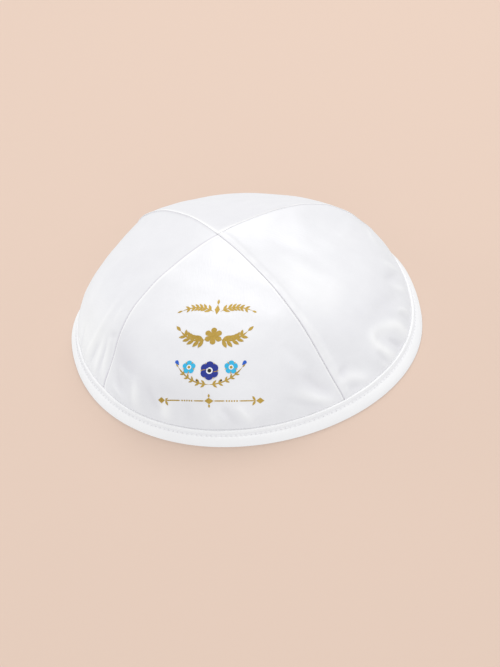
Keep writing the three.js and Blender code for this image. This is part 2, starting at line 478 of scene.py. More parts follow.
    def climb_at_height(self, facing: Numbers, depth: float, height: float) -> Numbers:
        """Finds the climb at which the face at a depth reaches a height.

        Args:
            facing: Facings in degrees.
            depth: Millimetres behind the outside of the cap.
            height: Millimetres above the floor.

        Returns:
            The climbs.
        """
        low = np.zeros_like(facing)
        high = np.full_like(facing, 0.5)
        depths = np.full_like(facing, depth)
        for _ in range(20):
            middle = (low + high) / 2
            above = self.skin_point(facing, middle, depths)[..., 2] > height
            high = np.where(above, middle, high)
            low = np.where(above, low, middle)
        return high

    def way_up(self, facing: Numbers, climb: Numbers) -> Numbers:
        """Gives the way in millimetres up the wall from the floor to each climb.

        Args:
            facing: Facings in degrees.
            climb: Climbs, of the same shape.

        Returns:
            The ways in millimetres.
        """
        chords = 12
        way = np.zeros_like(climb)
        start = self.crown_point(facing, np.zeros_like(climb))
        for step in range(chords):
            end = self.crown_point(facing, climb * (step + 1) / chords)
            way = way + lengths(end - start)
            start = end
        return way

    def panel_depth(self, facing: Numbers, climb: Numbers) -> Numbers:
        """Gives how far the cloth of a panel lies behind the outside of the cap.

        Args:
            facing: Facings in degrees.
            climb: Climbs, of the same shape.

        Returns:
            Millimetres inwards.
        """
        above_lip = self.way_up(facing, climb) - self.binding_width
        free = smooth_share(above_lip, 0, self.swell_way)
        dent = np.zeros_like(facing)
        for row in self.hollows:
            across = turn(row.facing, facing) / row.spread
            along = (climb - row.climb) / row.rise
            dent = dent + row.depth * np.exp(-(across**2) - along**2)
        return self.tuck * (1 - free) + self.pucker_depth * dent * free


FORM = CapForm()


@dataclass(frozen=True)
class Crease:
    """A small fold of the cloth: a bent line on the cap with a rounded ridge along it."""

    start: tuple[float, float]  # facing and climb
    bend: tuple[float, float]  # the point that the line bends towards
    end: tuple[float, float]
    width: float  # half the ridge's width in millimetres
    height: float  # millimetres, less than 0 for a furrow

    def line(self) -> Numbers:
        """Gives points along the fold, in millimetres.

        Returns:
            The points, from its start to its end.
        """
        share = np.linspace(0, 1, 15)[:, None]
        start, bend, end = (np.array(place) for place in (self.start, self.bend, self.end))
        places = start * (1 - share) ** 2 + 2 * bend * share * (1 - share) + end * share**2
        return FORM.crown_point(places[:, 0], places[:, 1])

    def lift(self, points: Numbers) -> Numbers:
        """Gives how far the fold lifts each point of the cloth.

        Args:
            points: Points on the outside of the cap, in millimetres.

        Returns:
            Millimetres outwards at each point.
        """
        line = self.line()
        reach = self.width * 3
        above = np.all(points > line.min(axis=0) - reach, axis=-1)
        touched = above & np.all(points < line.max(axis=0) + reach, axis=-1)
        near = points[touched]
        nearest = np.full(len(near), 1e9)
        share = np.zeros(len(near))
        for index in range(len(line) - 1):
            chord = line[index + 1] - line[index]
            along = np.clip((near - line[index]) @ chord / (chord @ chord), 0, 1)
            gap = lengths(near - line[index] - along[..., None] * chord)
            closer = gap < nearest
            nearest = np.where(closer, gap, nearest)
            share = np.where(closer, (index + along) / (len(line) - 1), share)
        fade = np.sin(math.pi * np.clip(share, 0.03, 0.97)) ** 0.6
        lifted = np.zeros(points.shape[:-1])
        lifted[touched] = self.height * fade * np.exp(-((nearest / self.width) ** 2))
        return lifted


# The left panel's folds lie side by side and run up from the lip. The front panel is gathered
# in upright ripples along the lip at its left and in a level shelf at its right, and the right
# panel has a small arch beside the seam, then a curled fold and a smaller one above it.
CREASES: tuple[Crease, ...] = (
    Crease((-151, 0.17), (-149, 0.36), (-147, 0.5), 1.4, 0.45),
    Crease((-148, 0.44), (-147, 0.55), (-150, 0.65), 1.5, 0.33),
    Crease((-142, 0.17), (-143, 0.28), (-144, 0.41), 1.3, 0.45),
    Crease((-136, 0.17), (-139, 0.28), (-140, 0.43), 1.4, 0.45),
    Crease((-147, 0.18), (-147, 0.28), (-146, 0.37), 1.3, -0.7),
    Crease((-140, 0.16), (-141, 0.28), (-142, 0.43), 1.3, -0.7),
    Crease((-135, 0.22), (-137, 0.32), (-138, 0.44), 1.1, -0.45),
    Crease((-156, 0.17), (-159, 0.24), (-161, 0.32), 1.6, -0.6),
    Crease((-141, 0.5), (-142, 0.56), (-143, 0.62), 1.3, 0.33),
    Crease((-141, 0.44), (-139, 0.45), (-136, 0.47), 1.8, -0.45),
    Crease((-117, 0.41), (-117, 0.33), (-116, 0.2), 2.9, 0.95),
    Crease((-104, 0.36), (-104, 0.3), (-105, 0.2), 2.9, 0.95),
    Crease((-130, 0.3), (-127, 0.28), (-124, 0.22), 2.0, -0.5),
    Crease((-112, 0.38), (-109, 0.32), (-108, 0.24), 2.2, -0.75),
    Crease((-97, 0.36), (-96, 0.29), (-96, 0.22), 2.4, -0.5),
    Crease((-90, 0.3), (-88, 0.26), (-87, 0.2), 1.8, 0.3),
    Crease((-85, 0.34), (-83, 0.28), (-81, 0.19), 2.0, -0.68),
    Crease((-80, 0.35), (-78, 0.28), (-76, 0.21), 2.2, 0.6),
    Crease((-130, 0.22), (-126, 0.23), (-123, 0.2), 1.1, 0.45),
    Crease((-129, 0.35), (-123, 0.36), (-118, 0.35), 2.0, 0.45),
    Crease((-61, 0.34), (-54, 0.24), (-47, 0.13), 2.9, 0.6),
    Crease((-55, 0.38), (-51, 0.28), (-47, 0.2), 2.6, -0.8),
    Crease((-58, 0.56), (-55, 0.48), (-51, 0.4), 3.6, -0.75),
    Crease((-64, 0.31), (-58, 0.23), (-52, 0.17), 1.6, -0.52),
    Crease((-45, 0.21), (-38, 0.3), (-34, 0.17), 2.2, 0.5),
    Crease((-42, 0.18), (-39, 0.2), (-38, 0.16), 1.5, -0.5),
    Crease((-44, 0.26), (-41, 0.29), (-38, 0.31), 1.8, -0.6),
    Crease((-10, 0.13), (-7, 0.37), (-22, 0.385), 3.2, 1.0),
    Crease((-17, 0.395), (-27, 0.4), (-23, 0.27), 3.2, 0.75),
    Crease((-24, 0.34), (-23, 0.24), (-19, 0.12), 2.7, 0.8),
    Crease((-14, 0.15), (-16, 0.24), (-18, 0.29), 1.6, -0.95),
    Crease((0, 0.21), (0, 0.3), (-6, 0.35), 1.3, 0.6),
    Crease((-3, 0.2), (-3, 0.27), (-6, 0.31), 1.2, -0.25),
    Crease((-26, 0.22), (-25, 0.17), (-24, 0.1), 1.3, 0.45),
    Crease((-26, 0.3), (-25, 0.24), (-24, 0.17), 1.6, -0.52),
    Crease((6, 0.46), (12, 0.39), (19, 0.29), 2.2, -0.6),
    Crease((16, 0.46), (18, 0.39), (20, 0.3), 2.2, 0.52),
    Crease((5, 0.41), (8, 0.34), (11, 0.26), 2.0, 0.52),
    Crease((-15, 0.48), (-6, 0.43), (3, 0.35), 3.4, -0.6),
    Crease((23, 0.66), (29, 0.6), (36, 0.53), 3.4, 0.75),
    Crease((38, 0.4), (33, 0.44), (28, 0.46), 2.0, 0.52),
    Crease((58, 0.2), (61, 0.3), (60, 0.4), 2.0, 0.52),
    Crease((70, 0.17), (72, 0.26), (76, 0.36), 1.9, -0.52),
    Crease((92, 0.18), (95, 0.25), (101, 0.3), 2.0, 0.52),
    Crease((108, 0.18), (110, 0.27), (108, 0.38), 1.9, -0.6),
    Crease((125, 0.16), (124, 0.26), (128, 0.36), 1.8, 0.52),
    Crease((148, 0.17), (150, 0.25), (154, 0.33), 1.9, 0.6),
    Crease((159, 0.17), (160, 0.26), (158, 0.36), 1.8, -0.52),
    Crease((-128, 0.68), (-117, 0.66), (-106, 0.64), 7.0, 0.6),
    Crease((-66, 0.7), (-60, 0.66), (-54, 0.62), 6.0, 0.5),
)


@dataclass(frozen=True)
class Slack:
    """A stretch along the lip where the panel's cloth falls back behind the binding."""

    facing: float
    spread: float  # half its length in degrees
    depth: float  # millimetres


SLACKS: tuple[Slack, ...] = (
    Slack(44, 22, 0.4),
    Slack(-178, 22, 0.6),
)


@dataclass(frozen=True)
class PaintedLightPatch:
    """A broad patch of painted highlight on a panel's satin, or of painted shade if below 0."""

    panel: str
    facing: float
    climb: float
    spread: float  # half its width in degrees
    rise: float  # half its height as a share of the climb
    strength: float


# Patches of painted highlight, and of painted shade where the strength is below 0.
PAINTED_LIGHT_PATCHES: tuple[PaintedLightPatch, ...] = (
    PaintedLightPatch("panel_left", -158, 0.3, 24, 0.24, 0.75),
    PaintedLightPatch("panel_left", -165, 0.74, 28, 0.14, -0.4),
    PaintedLightPatch("panel_front", -127, 0.42, 11, 0.11, -0.9),
    PaintedLightPatch("panel_front", -105, 0.38, 12, 0.08, -0.3),
    PaintedLightPatch("panel_front", -58, 0.4, 7, 0.09, -0.3),
    PaintedLightPatch("panel_right", -25, 0.7, 16, 0.14, 0.35),
    PaintedLightPatch("panel_right", -14, 0.47, 20, 0.12, -0.4),
    PaintedLightPatch("panel_back", 90, 0.85, 60, 0.3, -0.35),
)


def fold_lift(points: Numbers, widest: float = 99.0) -> Numbers:
    """Gives how far the folds lift each point of the cloth.

    Args:
        points: Points on the outside of the cap, in millimetres.
        widest: Folds at least this wide are left out.

    Returns:
        Millimetres outwards at each point.
    """
    total = np.zeros(points.shape[:-1])
    for crease in CREASES:
        if crease.width < widest:
            total = total + crease.lift(points)
    return total


def free_depth(facing: Numbers, climb: Numbers) -> Numbers:
    """Gives how far a panel's cloth lies behind the cap's outside, away from its seams.

    Args:
        facing: Facings in degrees.
        climb: Climbs, of the same shape.

    Returns:
        Millimetres inwards, with every fold and the cloth's slow unevenness.
    """
    skin = FORM.crown_point(facing, climb)
    above_lip = FORM.way_up(facing, climb) - FORM.binding_width
    free = smooth_share(above_lip, -1, 2.5)
    # The cloth is uneven by 0.15 mm, in waves of up to 26 mm.
    lift = 0.15 * slow_waves(skin, 26, 3) + fold_lift(skin)
    # It falls back low on the wall, and the sewing presses it in just above the lip.
    low = np.exp(-(((climb - 0.32) / 0.13) ** 2))
    slack = sum(s.depth * np.exp(-((turn(s.facing, facing) / s.spread) ** 2)) for s in SLACKS)
    falling = smooth_share(above_lip, 0, 9)
    pressed = 0.5 * smooth_share(above_lip, -0.5, 0.6) * (1 - smooth_share(above_lip, 2, 8))
    return FORM.panel_depth(facing, climb) + slack * low * falling - lift * free - pressed


def slow_waves(points: Numbers, size: float, seed: int) -> Numbers:
    """Adds up a few even waves in fixed directions, as cloth that is never quite smooth.

    Args:
        points: Points in millimetres.
        size: The length of the longest wave in millimetres.
        seed: Picks the directions and starts.

    Returns:
        A height between about -1 and 1 at each point.
    """
    chance = np.random.default_rng(seed)
    total = np.zeros(points.shape[:-1])
    for step in range(7):
        direction = chance.normal(size=3)
        direction /= np.linalg.norm(direction)
        length = size * (0.45 + 0.55 * chance.random())
        start = chance.random() * 2 * math.pi
        total = total + np.sin(points @ direction * 2 * math.pi / length + start)
    return total / 3.2


@dataclass(frozen=True)
class Cloth:
    """A finish of woven cloth: its colours, its gloss and its weave."""

    name: str
    light: str  # sRGB hex
    dark: str
    bright: str  # painted highlight colour, mixed in where the cloth is painted as shining
    crease: str  # painted shade colour, mixed in deep in a seam, a stitch hole, a furrow or a dull patch
    roughness: float
    index: float  # of refraction
    gloss: float  # specular level
    sheen: float
    float_width: float  # millimetres between the threads that lie on top
    float_length: float
    turn_of_grain: float  # degrees
    weave: float  # how strong the weave's relief is
    slub: float  # how strong the slower relief is

    def material(self) -> bpy.types.Material:
        """Builds the material.

        Returns:
            A material that reads the piece's own UV map and its two attributes of painted shade and
            painted highlight.
        """
        values = {
            "Roughness": self.roughness,
            "IOR": self.index,
            "Specular IOR Level": self.gloss,
            "Sheen Weight": self.sheen,
            "Sheen Roughness": 0.35,
        }
        material, shader = new_shader(self.name, values)
        tree = material.node_tree
        place = add_node(tree, "ShaderNodeUVMap", uv_map=CLOTH_MAP)
        grain = add_node(
            tree,
            "ShaderNodeMapping",
            values={
                "Rotation": (0, 0, math.radians(self.turn_of_grain)),
                "Scale": (1 / (self.float_width * METRES), 1 / (self.float_length * METRES), 1),
            },
            links={"Vector": place.outputs["UV"]},
        )
        floats = add_node(
            tree,
            "ShaderNodeTexNoise",
            values={"Scale": 1.0, "Detail": 1.5, "Roughness": 0.5},
            links={"Vector": grain.outputs["Vector"]},
        )
        where = add_node(tree, "ShaderNodeTexCoord")
        slubs = add_node(
            tree,
            "ShaderNodeTexNoise",
            values={"Scale": 110.0, "Detail": 2.0, "Roughness": 0.5},
            links={"Vector": where.outputs["Object"]},
        )
        mottle = add_node(
            tree,
            "ShaderNodeMix",
            data_type="RGBA",
            values={"A": linear(self.dark), "B": linear(self.light)},
            links={"Factor": slubs.outputs["Fac"]},
        )
        # Painted highlight: the colour is mixed towards the bright colour by this attribute.
        gleam = add_node(tree, "ShaderNodeAttribute", attribute_name=PAINTED_HIGHLIGHT)
        highlighted_colour = add_node(
            tree,
            "ShaderNodeMix",
            data_type="RGBA",
            values={"B": linear(self.bright)},
            links={"Factor": gleam.outputs["Fac"], "A": mottle.outputs["Result"]},
        )
        # Painted shade: the colour is mixed towards the crease colour by the shade attribute.
        fold = add_node(tree, "ShaderNodeAttribute", attribute_name=SHADE)
        colour = add_node(
            tree,
            "ShaderNodeMix",
            data_type="RGBA",
            values={"B": linear(self.crease)},
            links={"Factor": fold.outputs["Fac"], "A": highlighted_colour.outputs["Result"]},
        )
        tree.links.new(colour.outputs["Result"], shader.inputs["Base Color"])
        coarse = add_node(
            tree,
            "ShaderNodeBump",
            values={"Strength": self.slub, "Distance": 0.0006},
            links={"Height": slubs.outputs["Fac"]},
        )
        fine = add_node(
            tree,
            "ShaderNodeBump",
            values={"Strength": self.weave, "Distance": 0.00012},
            links={"Height": floats.outputs["Fac"], "Normal": coarse.outputs["Normal"]},
        )
        tree.links.new(fine.outputs["Normal"], shader.inputs["Normal"])
        return material


@dataclass(frozen=True)
class Ink:
    """A printed or foiled finish."""

    name: str
    light: str
    dark: str
    metallic: float
    roughness: float

    def material(self) -> bpy.types.Material:
        """Builds the material, mottled as ink is where the weave takes it up unevenly.

        Returns:
            The material.
        """
        values = {"Roughness": self.roughness, "Metallic": self.metallic}
        material, shader = new_shader(self.name, values)
        tree = material.node_tree
        where = add_node(tree, "ShaderNodeTexCoord")
        mottle = add_node(
            tree,
            "ShaderNodeTexNoise",
            values={"Scale": 900.0, "Detail": 2.0},
            links={"Vector": where.outputs["Object"]},
        )
        colour = add_node(
            tree,
            "ShaderNodeMix",
            data_type="RGBA",
            values={"A": linear(self.dark), "B": linear(self.light)},
            links={"Factor": mottle.outputs["Fac"]},
        )
        tree.links.new(colour.outputs["Result"], shader.inputs["Base Color"])
        relief = add_node(
            tree,
            "ShaderNodeBump",
            values={"Strength": 0.2, "Distance": 0.0001},
            links={"Height": mottle.outputs["Fac"]},
        )
        tree.links.new(relief.outputs["Normal"], shader.inputs["Normal"])
        return material


# Polyester satin, woven so that long threads lie on top: smooth, with a broad soft gloss. The
# real floats are 0.2 mm apart, so they are drawn 0.8 mm apart to show at all.
PANEL_SATIN = Cloth(
    name="polyester_satin",
    light="#f0f0f3",
    dark="#e8e8ec",
    # The bright colour is the painted highlight, the crease colour the painted shade.
    bright="#ffffff",
    crease="#d9d7de",
    roughness=0.36,
    index=1.6,
    gloss=1.0,
    sheen=0.15,
    float_width=0.8,
    float_length=3.2,
    turn_of_grain=0,
    weave=0.45,
    slub=0.25,
)
# The same satin cut on the cross, so that it bends round the rim: its threads run slantwise.
BINDING_SATIN = Cloth(
    name="bias_cut_satin",
    light="#fdfdfe",
    dark="#f8f8fa",
    # The bright colour is the painted highlight, the crease colour the painted shade.
    bright="#ffffff",
    crease="#d8d6dd",
    roughness=0.38,
    index=1.6,
    gloss=1.0,
    sheen=0.3,
    float_width=0.8,
    float_length=2.8,
    turn_of_grain=45,
    weave=0.4,
    slub=0.2,
)
# Thin plain-woven cotton lining: matt, with an even grain.
LINING = Cloth(
    name="cotton_lining",
    light="#f6f4f0",
    dark="#ece9e4",
    # The crease colour is the painted shade beside the lining's rolled edges.
    bright="#fbfaf7",
    crease="#a9a5a3",
    roughness=0.8,
    index=1.5,
    gloss=0.3,
    sheen=0.1,
    float_width=0.7,
    float_length=0.8,
    turn_of_grain=0,
    weave=0.4,
    slub=0.25,
)
# Spun polyester sewing thread, two strands twisted: brighter than the cloth, with a dull gloss.
SEWING_THREAD = Cloth(
    name="polyester_thread",
    light="#ffffff",
    dark="#f2f2f6",
    bright="#ffffff",
    crease="#d9d6df",
    roughness=0.5,
    index=1.6,
    gloss=0.5,
    sheen=0.2,
    float_width=0.3,
    float_length=0.9,
    turn_of_grain=30,
    weave=0.5,
    slub=0.2,
)
# Gold ink: metal flakes in a clear binder, a dull warm gold rather than a mirror.
GOLD_INK = Ink("gold_ink", "#c9aa55", "#a98732", 0.55, 0.42)
# Screen inks: a thin even film of pigment, with a slight gloss.
NAVY_INK = Ink("navy_ink", "#16309c", "#0f2280", 0.0, 0.45)
SKY_INK = Ink("sky_ink", "#35c4ee", "#22a6d8", 0.0, 0.45)
BLUE_INK = Ink("blue_ink", "#1f63d2", "#164fb4", 0.0, 0.45)
BLACK_INK = Ink("black_ink", "#1a1a1c", "#101012", 0.0, 0.5)
WHITE_INK = Ink("white_ink", "#fdfdfd", "#f2f2f4", 0.0, 0.5)
INKS = (GOLD_INK, NAVY_INK, SKY_INK, BLUE_INK, BLACK_INK, WHITE_INK)


def cloth_mesh(
    name: str,
    points: Numbers,
    faces: Numbers,
    materials: list[bpy.types.Material],
    slots: Numbers | None = None,
    cloth_map: Numbers | None = None,
    shade: Numbers | None = None,
    gleam: Numbers | None = None,
) -> bpy.types.Object:
    """Makes a smooth mesh object at the origin.

    Args:
        name: The piece's name.
        points: Points in millimetres.
        faces: Quads or triangles, as rows of point numbers.
        materials: The piece's materials.
        slots: The material number of each face.
        cloth_map: Millimetres along and up the cloth at each point.
        shade: How much painted shade each point has, up to 1.
        gleam: How much painted highlight each point has, up to 1.

    Returns:
        The linked object.
    """
    mesh = bpy.data.meshes.new(name)
    mesh.from_pydata((points * METRES).tolist(), [], faces.tolist())
    for material in materials:
        mesh.materials.append(material)
    if slots is not None:
        mesh.polygons.foreach_set("material_index", slots.astype(np.int32))
    if cloth_map is not None:
        corners = np.empty(len(mesh.loops), dtype=np.int32)
        mesh.loops.foreach_get("vertex_index", corners)
        layer = mesh.uv_layers.new(name=CLOTH_MAP)
        layer.data.foreach_set("uv", (cloth_map[corners] * METRES).astype(np.float32).ravel())
    for attribute_name, values in ((SHADE, shade), (PAINTED_HIGHLIGHT, gleam)):
        if values is not None:
            attribute = mesh.attributes.new(attribute_name, "FLOAT", "POINT")
            attribute.data.foreach_set("value", values.astype(np.float32))
    mesh.polygons.foreach_set("use_smooth", np.ones(len(mesh.polygons), dtype=bool))
    mesh.update()
    return linked(name, mesh)


def solid_volume(mesh: bpy.types.Mesh) -> float:
    """Gives a closed mesh's volume in cubic millimetres, below 0 if it is inside out.

    Args:
        mesh: The panel's mesh.

    Returns:
        The volume.
    """
    mesh.calc_loop_triangles()
    points = np.empty(len(mesh.vertices) * 3)
    mesh.vertices.foreach_get("co", points)
    points = points.reshape(-1, 3)
    corners = np.empty(len(mesh.loop_triangles) * 3, dtype=np.int32)
    mesh.loop_triangles.foreach_get("vertices", corners)
    a, b, c = (points[corners.reshape(-1, 3)[:, place]] for place in range(3))
    return float(np.einsum("ij,ij->i", a, np.cross(b, c)).sum() / 6 / METRES**3)


@dataclass
class SatinPanel:
    """One of the four panels: satin outside, lining inside, its edges rolled into the seams."""

    name: str
    facing: float
    satin: bpy.types.Material
    lining: bpy.types.Material
    rows: int = 132  # even rows up the panel
    columns: int = 140  # even columns between the seams' own
    edge_gap: float = 0.004  # from the middle of a seam to the cloth
    pinch: float = 0.16  # how far a seam draws the cloth in beside it
    pinch_width: float = 2.6
    roll: float = 0.5  # the radius of the lining's rolled edge, in millimetres
    allowance_edge: tuple = (3.0, 5.6)  # where a pressed allowance's relief ends
    allowance_highlight_edge: tuple = (3.0, 5.2)  # where its painted highlight ends
    fold_light_paint: float = 0.75  # how strongly a fold 1 mm high is painted, with highlight on a ridge and shade in a furrow
    widest_painted_fold: float = 3.3  # a fold this wide or wider gets no painted light
    seam_zone: float = 16.0  # a panel narrower than this has the seams' columns closer
    long_way: float = 100.0  # from the raw edge to the apex, in millimetres
    even_rows_end: float = 3.4  # millimetres below the apex
    # Columns beside a seam and rows below the apex, in millimetres from each.
    beside_seam: tuple = (
        *(0.0, 0.08, 0.2, 0.36, 0.56, 0.8, 1.15, 1.6),
        *(2.2, 2.9, 3.6, 4.2, 4.7, 5.3, 6.2, 7.4),
    )
    below_apex: tuple = (2.6, 1.9, 1.3, 0.85, 0.5, 0.25)

    def climbs(self) -> Numbers:
        """Gives each row's share of the way from the raw edge to the apex.

        Returns:
            The shares, from 0.
        """
        first = np.linspace(0, 1 - self.even_rows_end / self.long_way, self.rows)
        last = 1 - np.array(self.below_apex) / self.long_way
        return np.concatenate([first, last])

    def layout(self, wall: float) -> tuple[Numbers, Numbers, Numbers, Numbers]:
        """Lays out the panel's grid on one face of the cloth.

        Args:
            wall: How far the face lies behind the outside face.

        Returns:
            The facing and climb of each point, and its way from the clockwise and the
            anticlockwise seam.
        """
        fine = self.facing + np.linspace(-FORM.half_panel, FORM.half_panel, 121)
        start = FORM.climb_at_height(fine, FORM.tuck + wall, FORM.seat)
        shares = self.climbs()[:, None]
        climb = start[None, :] * (1 - shares) + shares
        facing = np.broadcast_to(fine, climb.shape)
        way = running_way(FORM.crown_point(facing, climb))
        whole = way[:, -1]
        beside = np.array(self.beside_seam)
        scale = np.minimum(1, (whole / 2 - self.edge_gap) / self.seam_zone)
        near = self.edge_gap + beside[None, :] * scale[:, None]
        even = np.linspace(0, 1, self.columns + 2)[None, 1:-1]
        inner = near[:, -1:]
        middle = inner + even * (whole[:, None] - 2 * inner)
        places = np.concatenate([near, middle, whole[:, None] - near[:, ::-1]], axis=1)
        facings = np.stack([np.interp(places[i], way[i], fine) for i in range(len(way))])
        starts = np.interp(facings, fine, start)
        climbs = starts * (1 - shares) + shares
        return facings, climbs, places, whole[:, None] - places

    def seam_beside(self, side: int) -> Seam:
        """Gives the seam on the clockwise side for -1, or the anticlockwise one for 1."""
        wanted = self.facing + side * FORM.half_panel
        return min(FORM.seams, key=lambda seam: abs(turn(seam.facing, wanted)))

    def seam_relief(self, clockwise: Numbers, anticlockwise: Numbers) -> Numbers:
        """Gives how far the two seams draw the outside of the cloth in.

        Args:
            clockwise: Way from the clockwise seam in millimetres.
            anticlockwise: Way from the anticlockwise seam.

        Returns:
            Millimetres inwards, less than 0 where a pressed allowance lifts the cloth.
        """
        total = np.zeros_like(clockwise)
        for side, way in ((-1, clockwise), (1, anticlockwise)):
            seam = self.seam_beside(side)
            total = total + seam.dip * np.clip(1 - way / seam.reach, 0, 1) ** 2
            if seam.pressed.value == -side:
                flat = 1 - smooth_share(way, *self.allowance_edge)
                soft = np.exp(-((way / 2.4) ** 2))
                lift = seam.plateau * flat + (1 - seam.plateau) * soft
                total = total - seam.ridge * lift
            else:
                total = total + self.pinch * np.exp(-((way / self.pinch_width) ** 2))
        return total

    def painted_light(
        self, facing: Numbers, climb: Numbers, clockwise: Numbers, anticlockwise: Numbers
    ) -> tuple[Numbers, Numbers]:
        """Gives the painted shade and the painted highlight of the outside of the cloth.

        Args:
            facing: Facings in degrees.
            climb: Climbs.
            clockwise: Way from the clockwise seam in millimetres.
            anticlockwise: Way from the anticlockwise seam.

        Returns:
            The painted shade and the painted highlight of each point, each from 0 to 1.
        """
        # Folds and patches are painted: highlight where the total is above 0, shade where below.
        skin = FORM.crown_point(facing, climb)
        total = self.fold_light_paint * fold_lift(skin, self.widest_painted_fold)
        for patch in PAINTED_LIGHT_PATCHES:
            if patch.panel == self.name:
                across = turn(patch.facing, facing) / patch.spread
                along = (climb - patch.climb) / patch.rise
                total = total + patch.strength * np.exp(-(across**2) - along**2)
        shade = 0.5 * np.clip(-total, 0, 1)
        gleam = np.clip(total, 0, 1)
        # Each seam gets a line of painted shade; its lit side gets a painted highlight along the
        # turned edge, and a pressed allowance a faint, uneven painted highlight.
        line = np.zeros_like(total)
        for side, way in ((-1, clockwise), (1, anticlockwise)):
            seam = self.seam_beside(side)
            lit = seam.lit.value == -side
            reach = seam.reach * (0.5 if lit else 1.0)
            line = np.maximum(line, seam.shade * np.clip(1.6 - 1.6 * way / reach, 0, 1))
            if lit:
                beyond = np.maximum(way - reach, 0)
                edge = np.exp(-((beyond / seam.lit_width) ** 2))
                gleam = np.maximum(gleam, edge)
                shade = shade * (1 - edge)
            if seam.pressed.value == -side:
                uneven_highlight = 1 + 0.5 * slow_waves(skin, 7, 4)
                fade = seam.plateau * (1 - smooth_share(way, *self.allowance_highlight_edge))
                gleam = np.maximum(gleam, 0.24 * fade * uneven_highlight)
        return np.clip(np.maximum(shade, line), 0, 1), np.clip(gleam, 0, 1)

    def build(self) -> bpy.types.Object:
        """Builds the panel.

        Returns:
            The panel's object, which replaces its plain solid.
        """
        facing, climb, clockwise, anticlockwise = self.layout(0.0)
        ways = FORM.way_up(facing, climb)
        depth = free_depth(facing, climb) + self.seam_relief(clockwise, anticlockwise)
        outside = FORM.skin_point(facing, climb, depth)
        outside[0, :, 2] = FORM.seat
        shade, gleam = self.painted_light(facing, climb, clockwise, anticlockwise)

        lined, lined_climb, near, far = self.layout(FORM.panel_wall)
        roll_in = np.clip(self.roll - np.minimum(near, far), 0, self.roll)
        rounded = self.roll - np.sqrt(self.roll**2 - roll_in**2)
        wall = FORM.panel_wall - rounded * 0.7
        inner_depth = free_depth(lined, lined_climb) + wall
        inner_depth = inner_depth - 0.05 * slow_waves(FORM.crown_point(lined, lined_climb), 17, 8)
        inside = FORM.skin_point(lined, lined_climb, inner_depth)
        inside[0, :, 2] = FORM.seat
        # Painted shade on the lining beside its rolled edges.
        inside_shade = np.clip(1 - np.minimum(near, far) / 0.45, 0, 1)

        middle = (anticlockwise + clockwise) / 2
        cloth_map = np.stack([clockwise - middle, ways], axis=-1)
        return self.shell(outside, inside, shade, gleam, inside_shade, cloth_map)

    def shell(
        self,
        outside: Numbers,
        inside: Numbers,
        shade: Numbers,
        gleam: Numbers,
        inside_shade: Numbers,
        cloth_map: Numbers,
    ) -> bpy.types.Object:
        """Joins the two faces of the cloth into one closed wall with a tip at the apex.

        Args:
            outside: Rows of points of the outside face.
            inside: Rows of points of the lining's face.
            shade: The painted shade of the outside face.
            gleam: The painted highlight of the outside face.
            inside_shade: The painted shade of the lining's face.
            cloth_map: Millimetres along and up the cloth.

        Returns:
            The panel's object.
        """
        rows, columns = outside.shape[:2]
        count = rows * columns
        tip_way = math.radians(self.facing)
        back = self.edge_gap * math.sqrt(2) * np.array([math.cos(tip_way), math.sin(tip_way), 0])
        apex = FORM.crown_point(np.array(self.facing), np.array(1.0)) + back
        tip = apex - np.array([0, 0, 0.5])
        inner_tip = apex - np.array([0, 0, FORM.panel_wall - 0.2])
        points = np.concatenate(
            [outside.reshape(-1, 3), inside.reshape(-1, 3), tip[None], inner_tip[None]]
        )
        maps = cloth_map.reshape(-1, 2)
        tip_map = maps[-1:] * np.array([[0.0, 1.0]])
        maps = np.concatenate([maps, maps, tip_map, tip_map])
        # The tips get painted shade, and the outer tip a painted highlight.
        shades = np.concatenate([shade.ravel(), inside_shade.ravel(), [0.3, 1.0]])
        painted_highlights = np.concatenate([gleam.ravel(), np.zeros(count), [0.5, 0.0]])
        numbers = np.arange(count).reshape(rows, columns)
        a, b = numbers[:-1, :-1].ravel(), numbers[:-1, 1:].ravel()
        c, d = numbers[1:, 1:].ravel(), numbers[1:, :-1].ravel()
        outer_faces = np.stack([a, b, c, d], axis=1)
        inner_faces = outer_faces[:, ::-1] + count
        left, right = numbers[:, 0], numbers[:, -1]
        bottom = numbers[0]
        edges = np.concatenate(
            [
                self.rim_of_wall(left[::-1], count),
                self.rim_of_wall(right, count),
                self.rim_of_wall(bottom, count),
            ]
        )
        quads = np.concatenate([outer_faces, edges, inner_faces])
        slots = np.concatenate(
            [np.zeros(len(outer_faces) + len(edges)), np.ones(len(inner_faces))]
        )
        faces = [list(face) for face in quads]
        top = numbers[-1]
        outer_tip, lining_tip = 2 * count, 2 * count + 1
        for start, end in zip(top[:-1], top[1:]):
            faces.append([start, end, outer_tip])
            faces.append([end + count, start + count, lining_tip])
        faces.append([top[0], outer_tip, lining_tip, top[0] + count])
        faces.append([outer_tip, top[-1], top[-1] + count, lining_tip])
        extra = np.tile([0, 1], len(top) - 1)
        slots = np.concatenate([slots, extra, [0, 0]])
        piece = cloth_mesh(
            self.name + "_cloth",
            points,
            np.array(faces, dtype=object),
            [self.satin, self.lining],
            slots,
            maps,
            shades,
            painted_highlights,
        )
        self.sharpen(piece.data, left, right)
        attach(piece, "root")
        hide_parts(self.name)
        return piece

    def sharpen(self, mesh: bpy.types.Mesh, left: Numbers, right: Numbers) -> None:
        """Marks the two side edges of the outside face, so that each is shaded on its own.

        Args:
            mesh: The panel's mesh.
            left: The point numbers of one side edge.
            right: The point numbers of the other.
        """
        side = np.zeros(len(mesh.vertices), dtype=int)
        side[left] = 1
        side[right] = 2
        ends = np.empty(len(mesh.edges) * 2, dtype=np.int32)
        mesh.edges.foreach_get("vertices", ends)
        ends = side[ends.reshape(-1, 2)]
        sharp = (ends[:, 0] > 0) & (ends[:, 0] == ends[:, 1])
        attribute = mesh.attributes.new("sharp_edge", "BOOLEAN", "EDGE")
        attribute.data.foreach_set("value", sharp)

    def rim_of_wall(self, line: Numbers, count: int) -> Numbers:
        """Gives the quads that join an edge of the outside face to the inside face."""
        start, end = line[:-1], line[1:]
        return np.stack([start, start + count, end + count, end], axis=1)


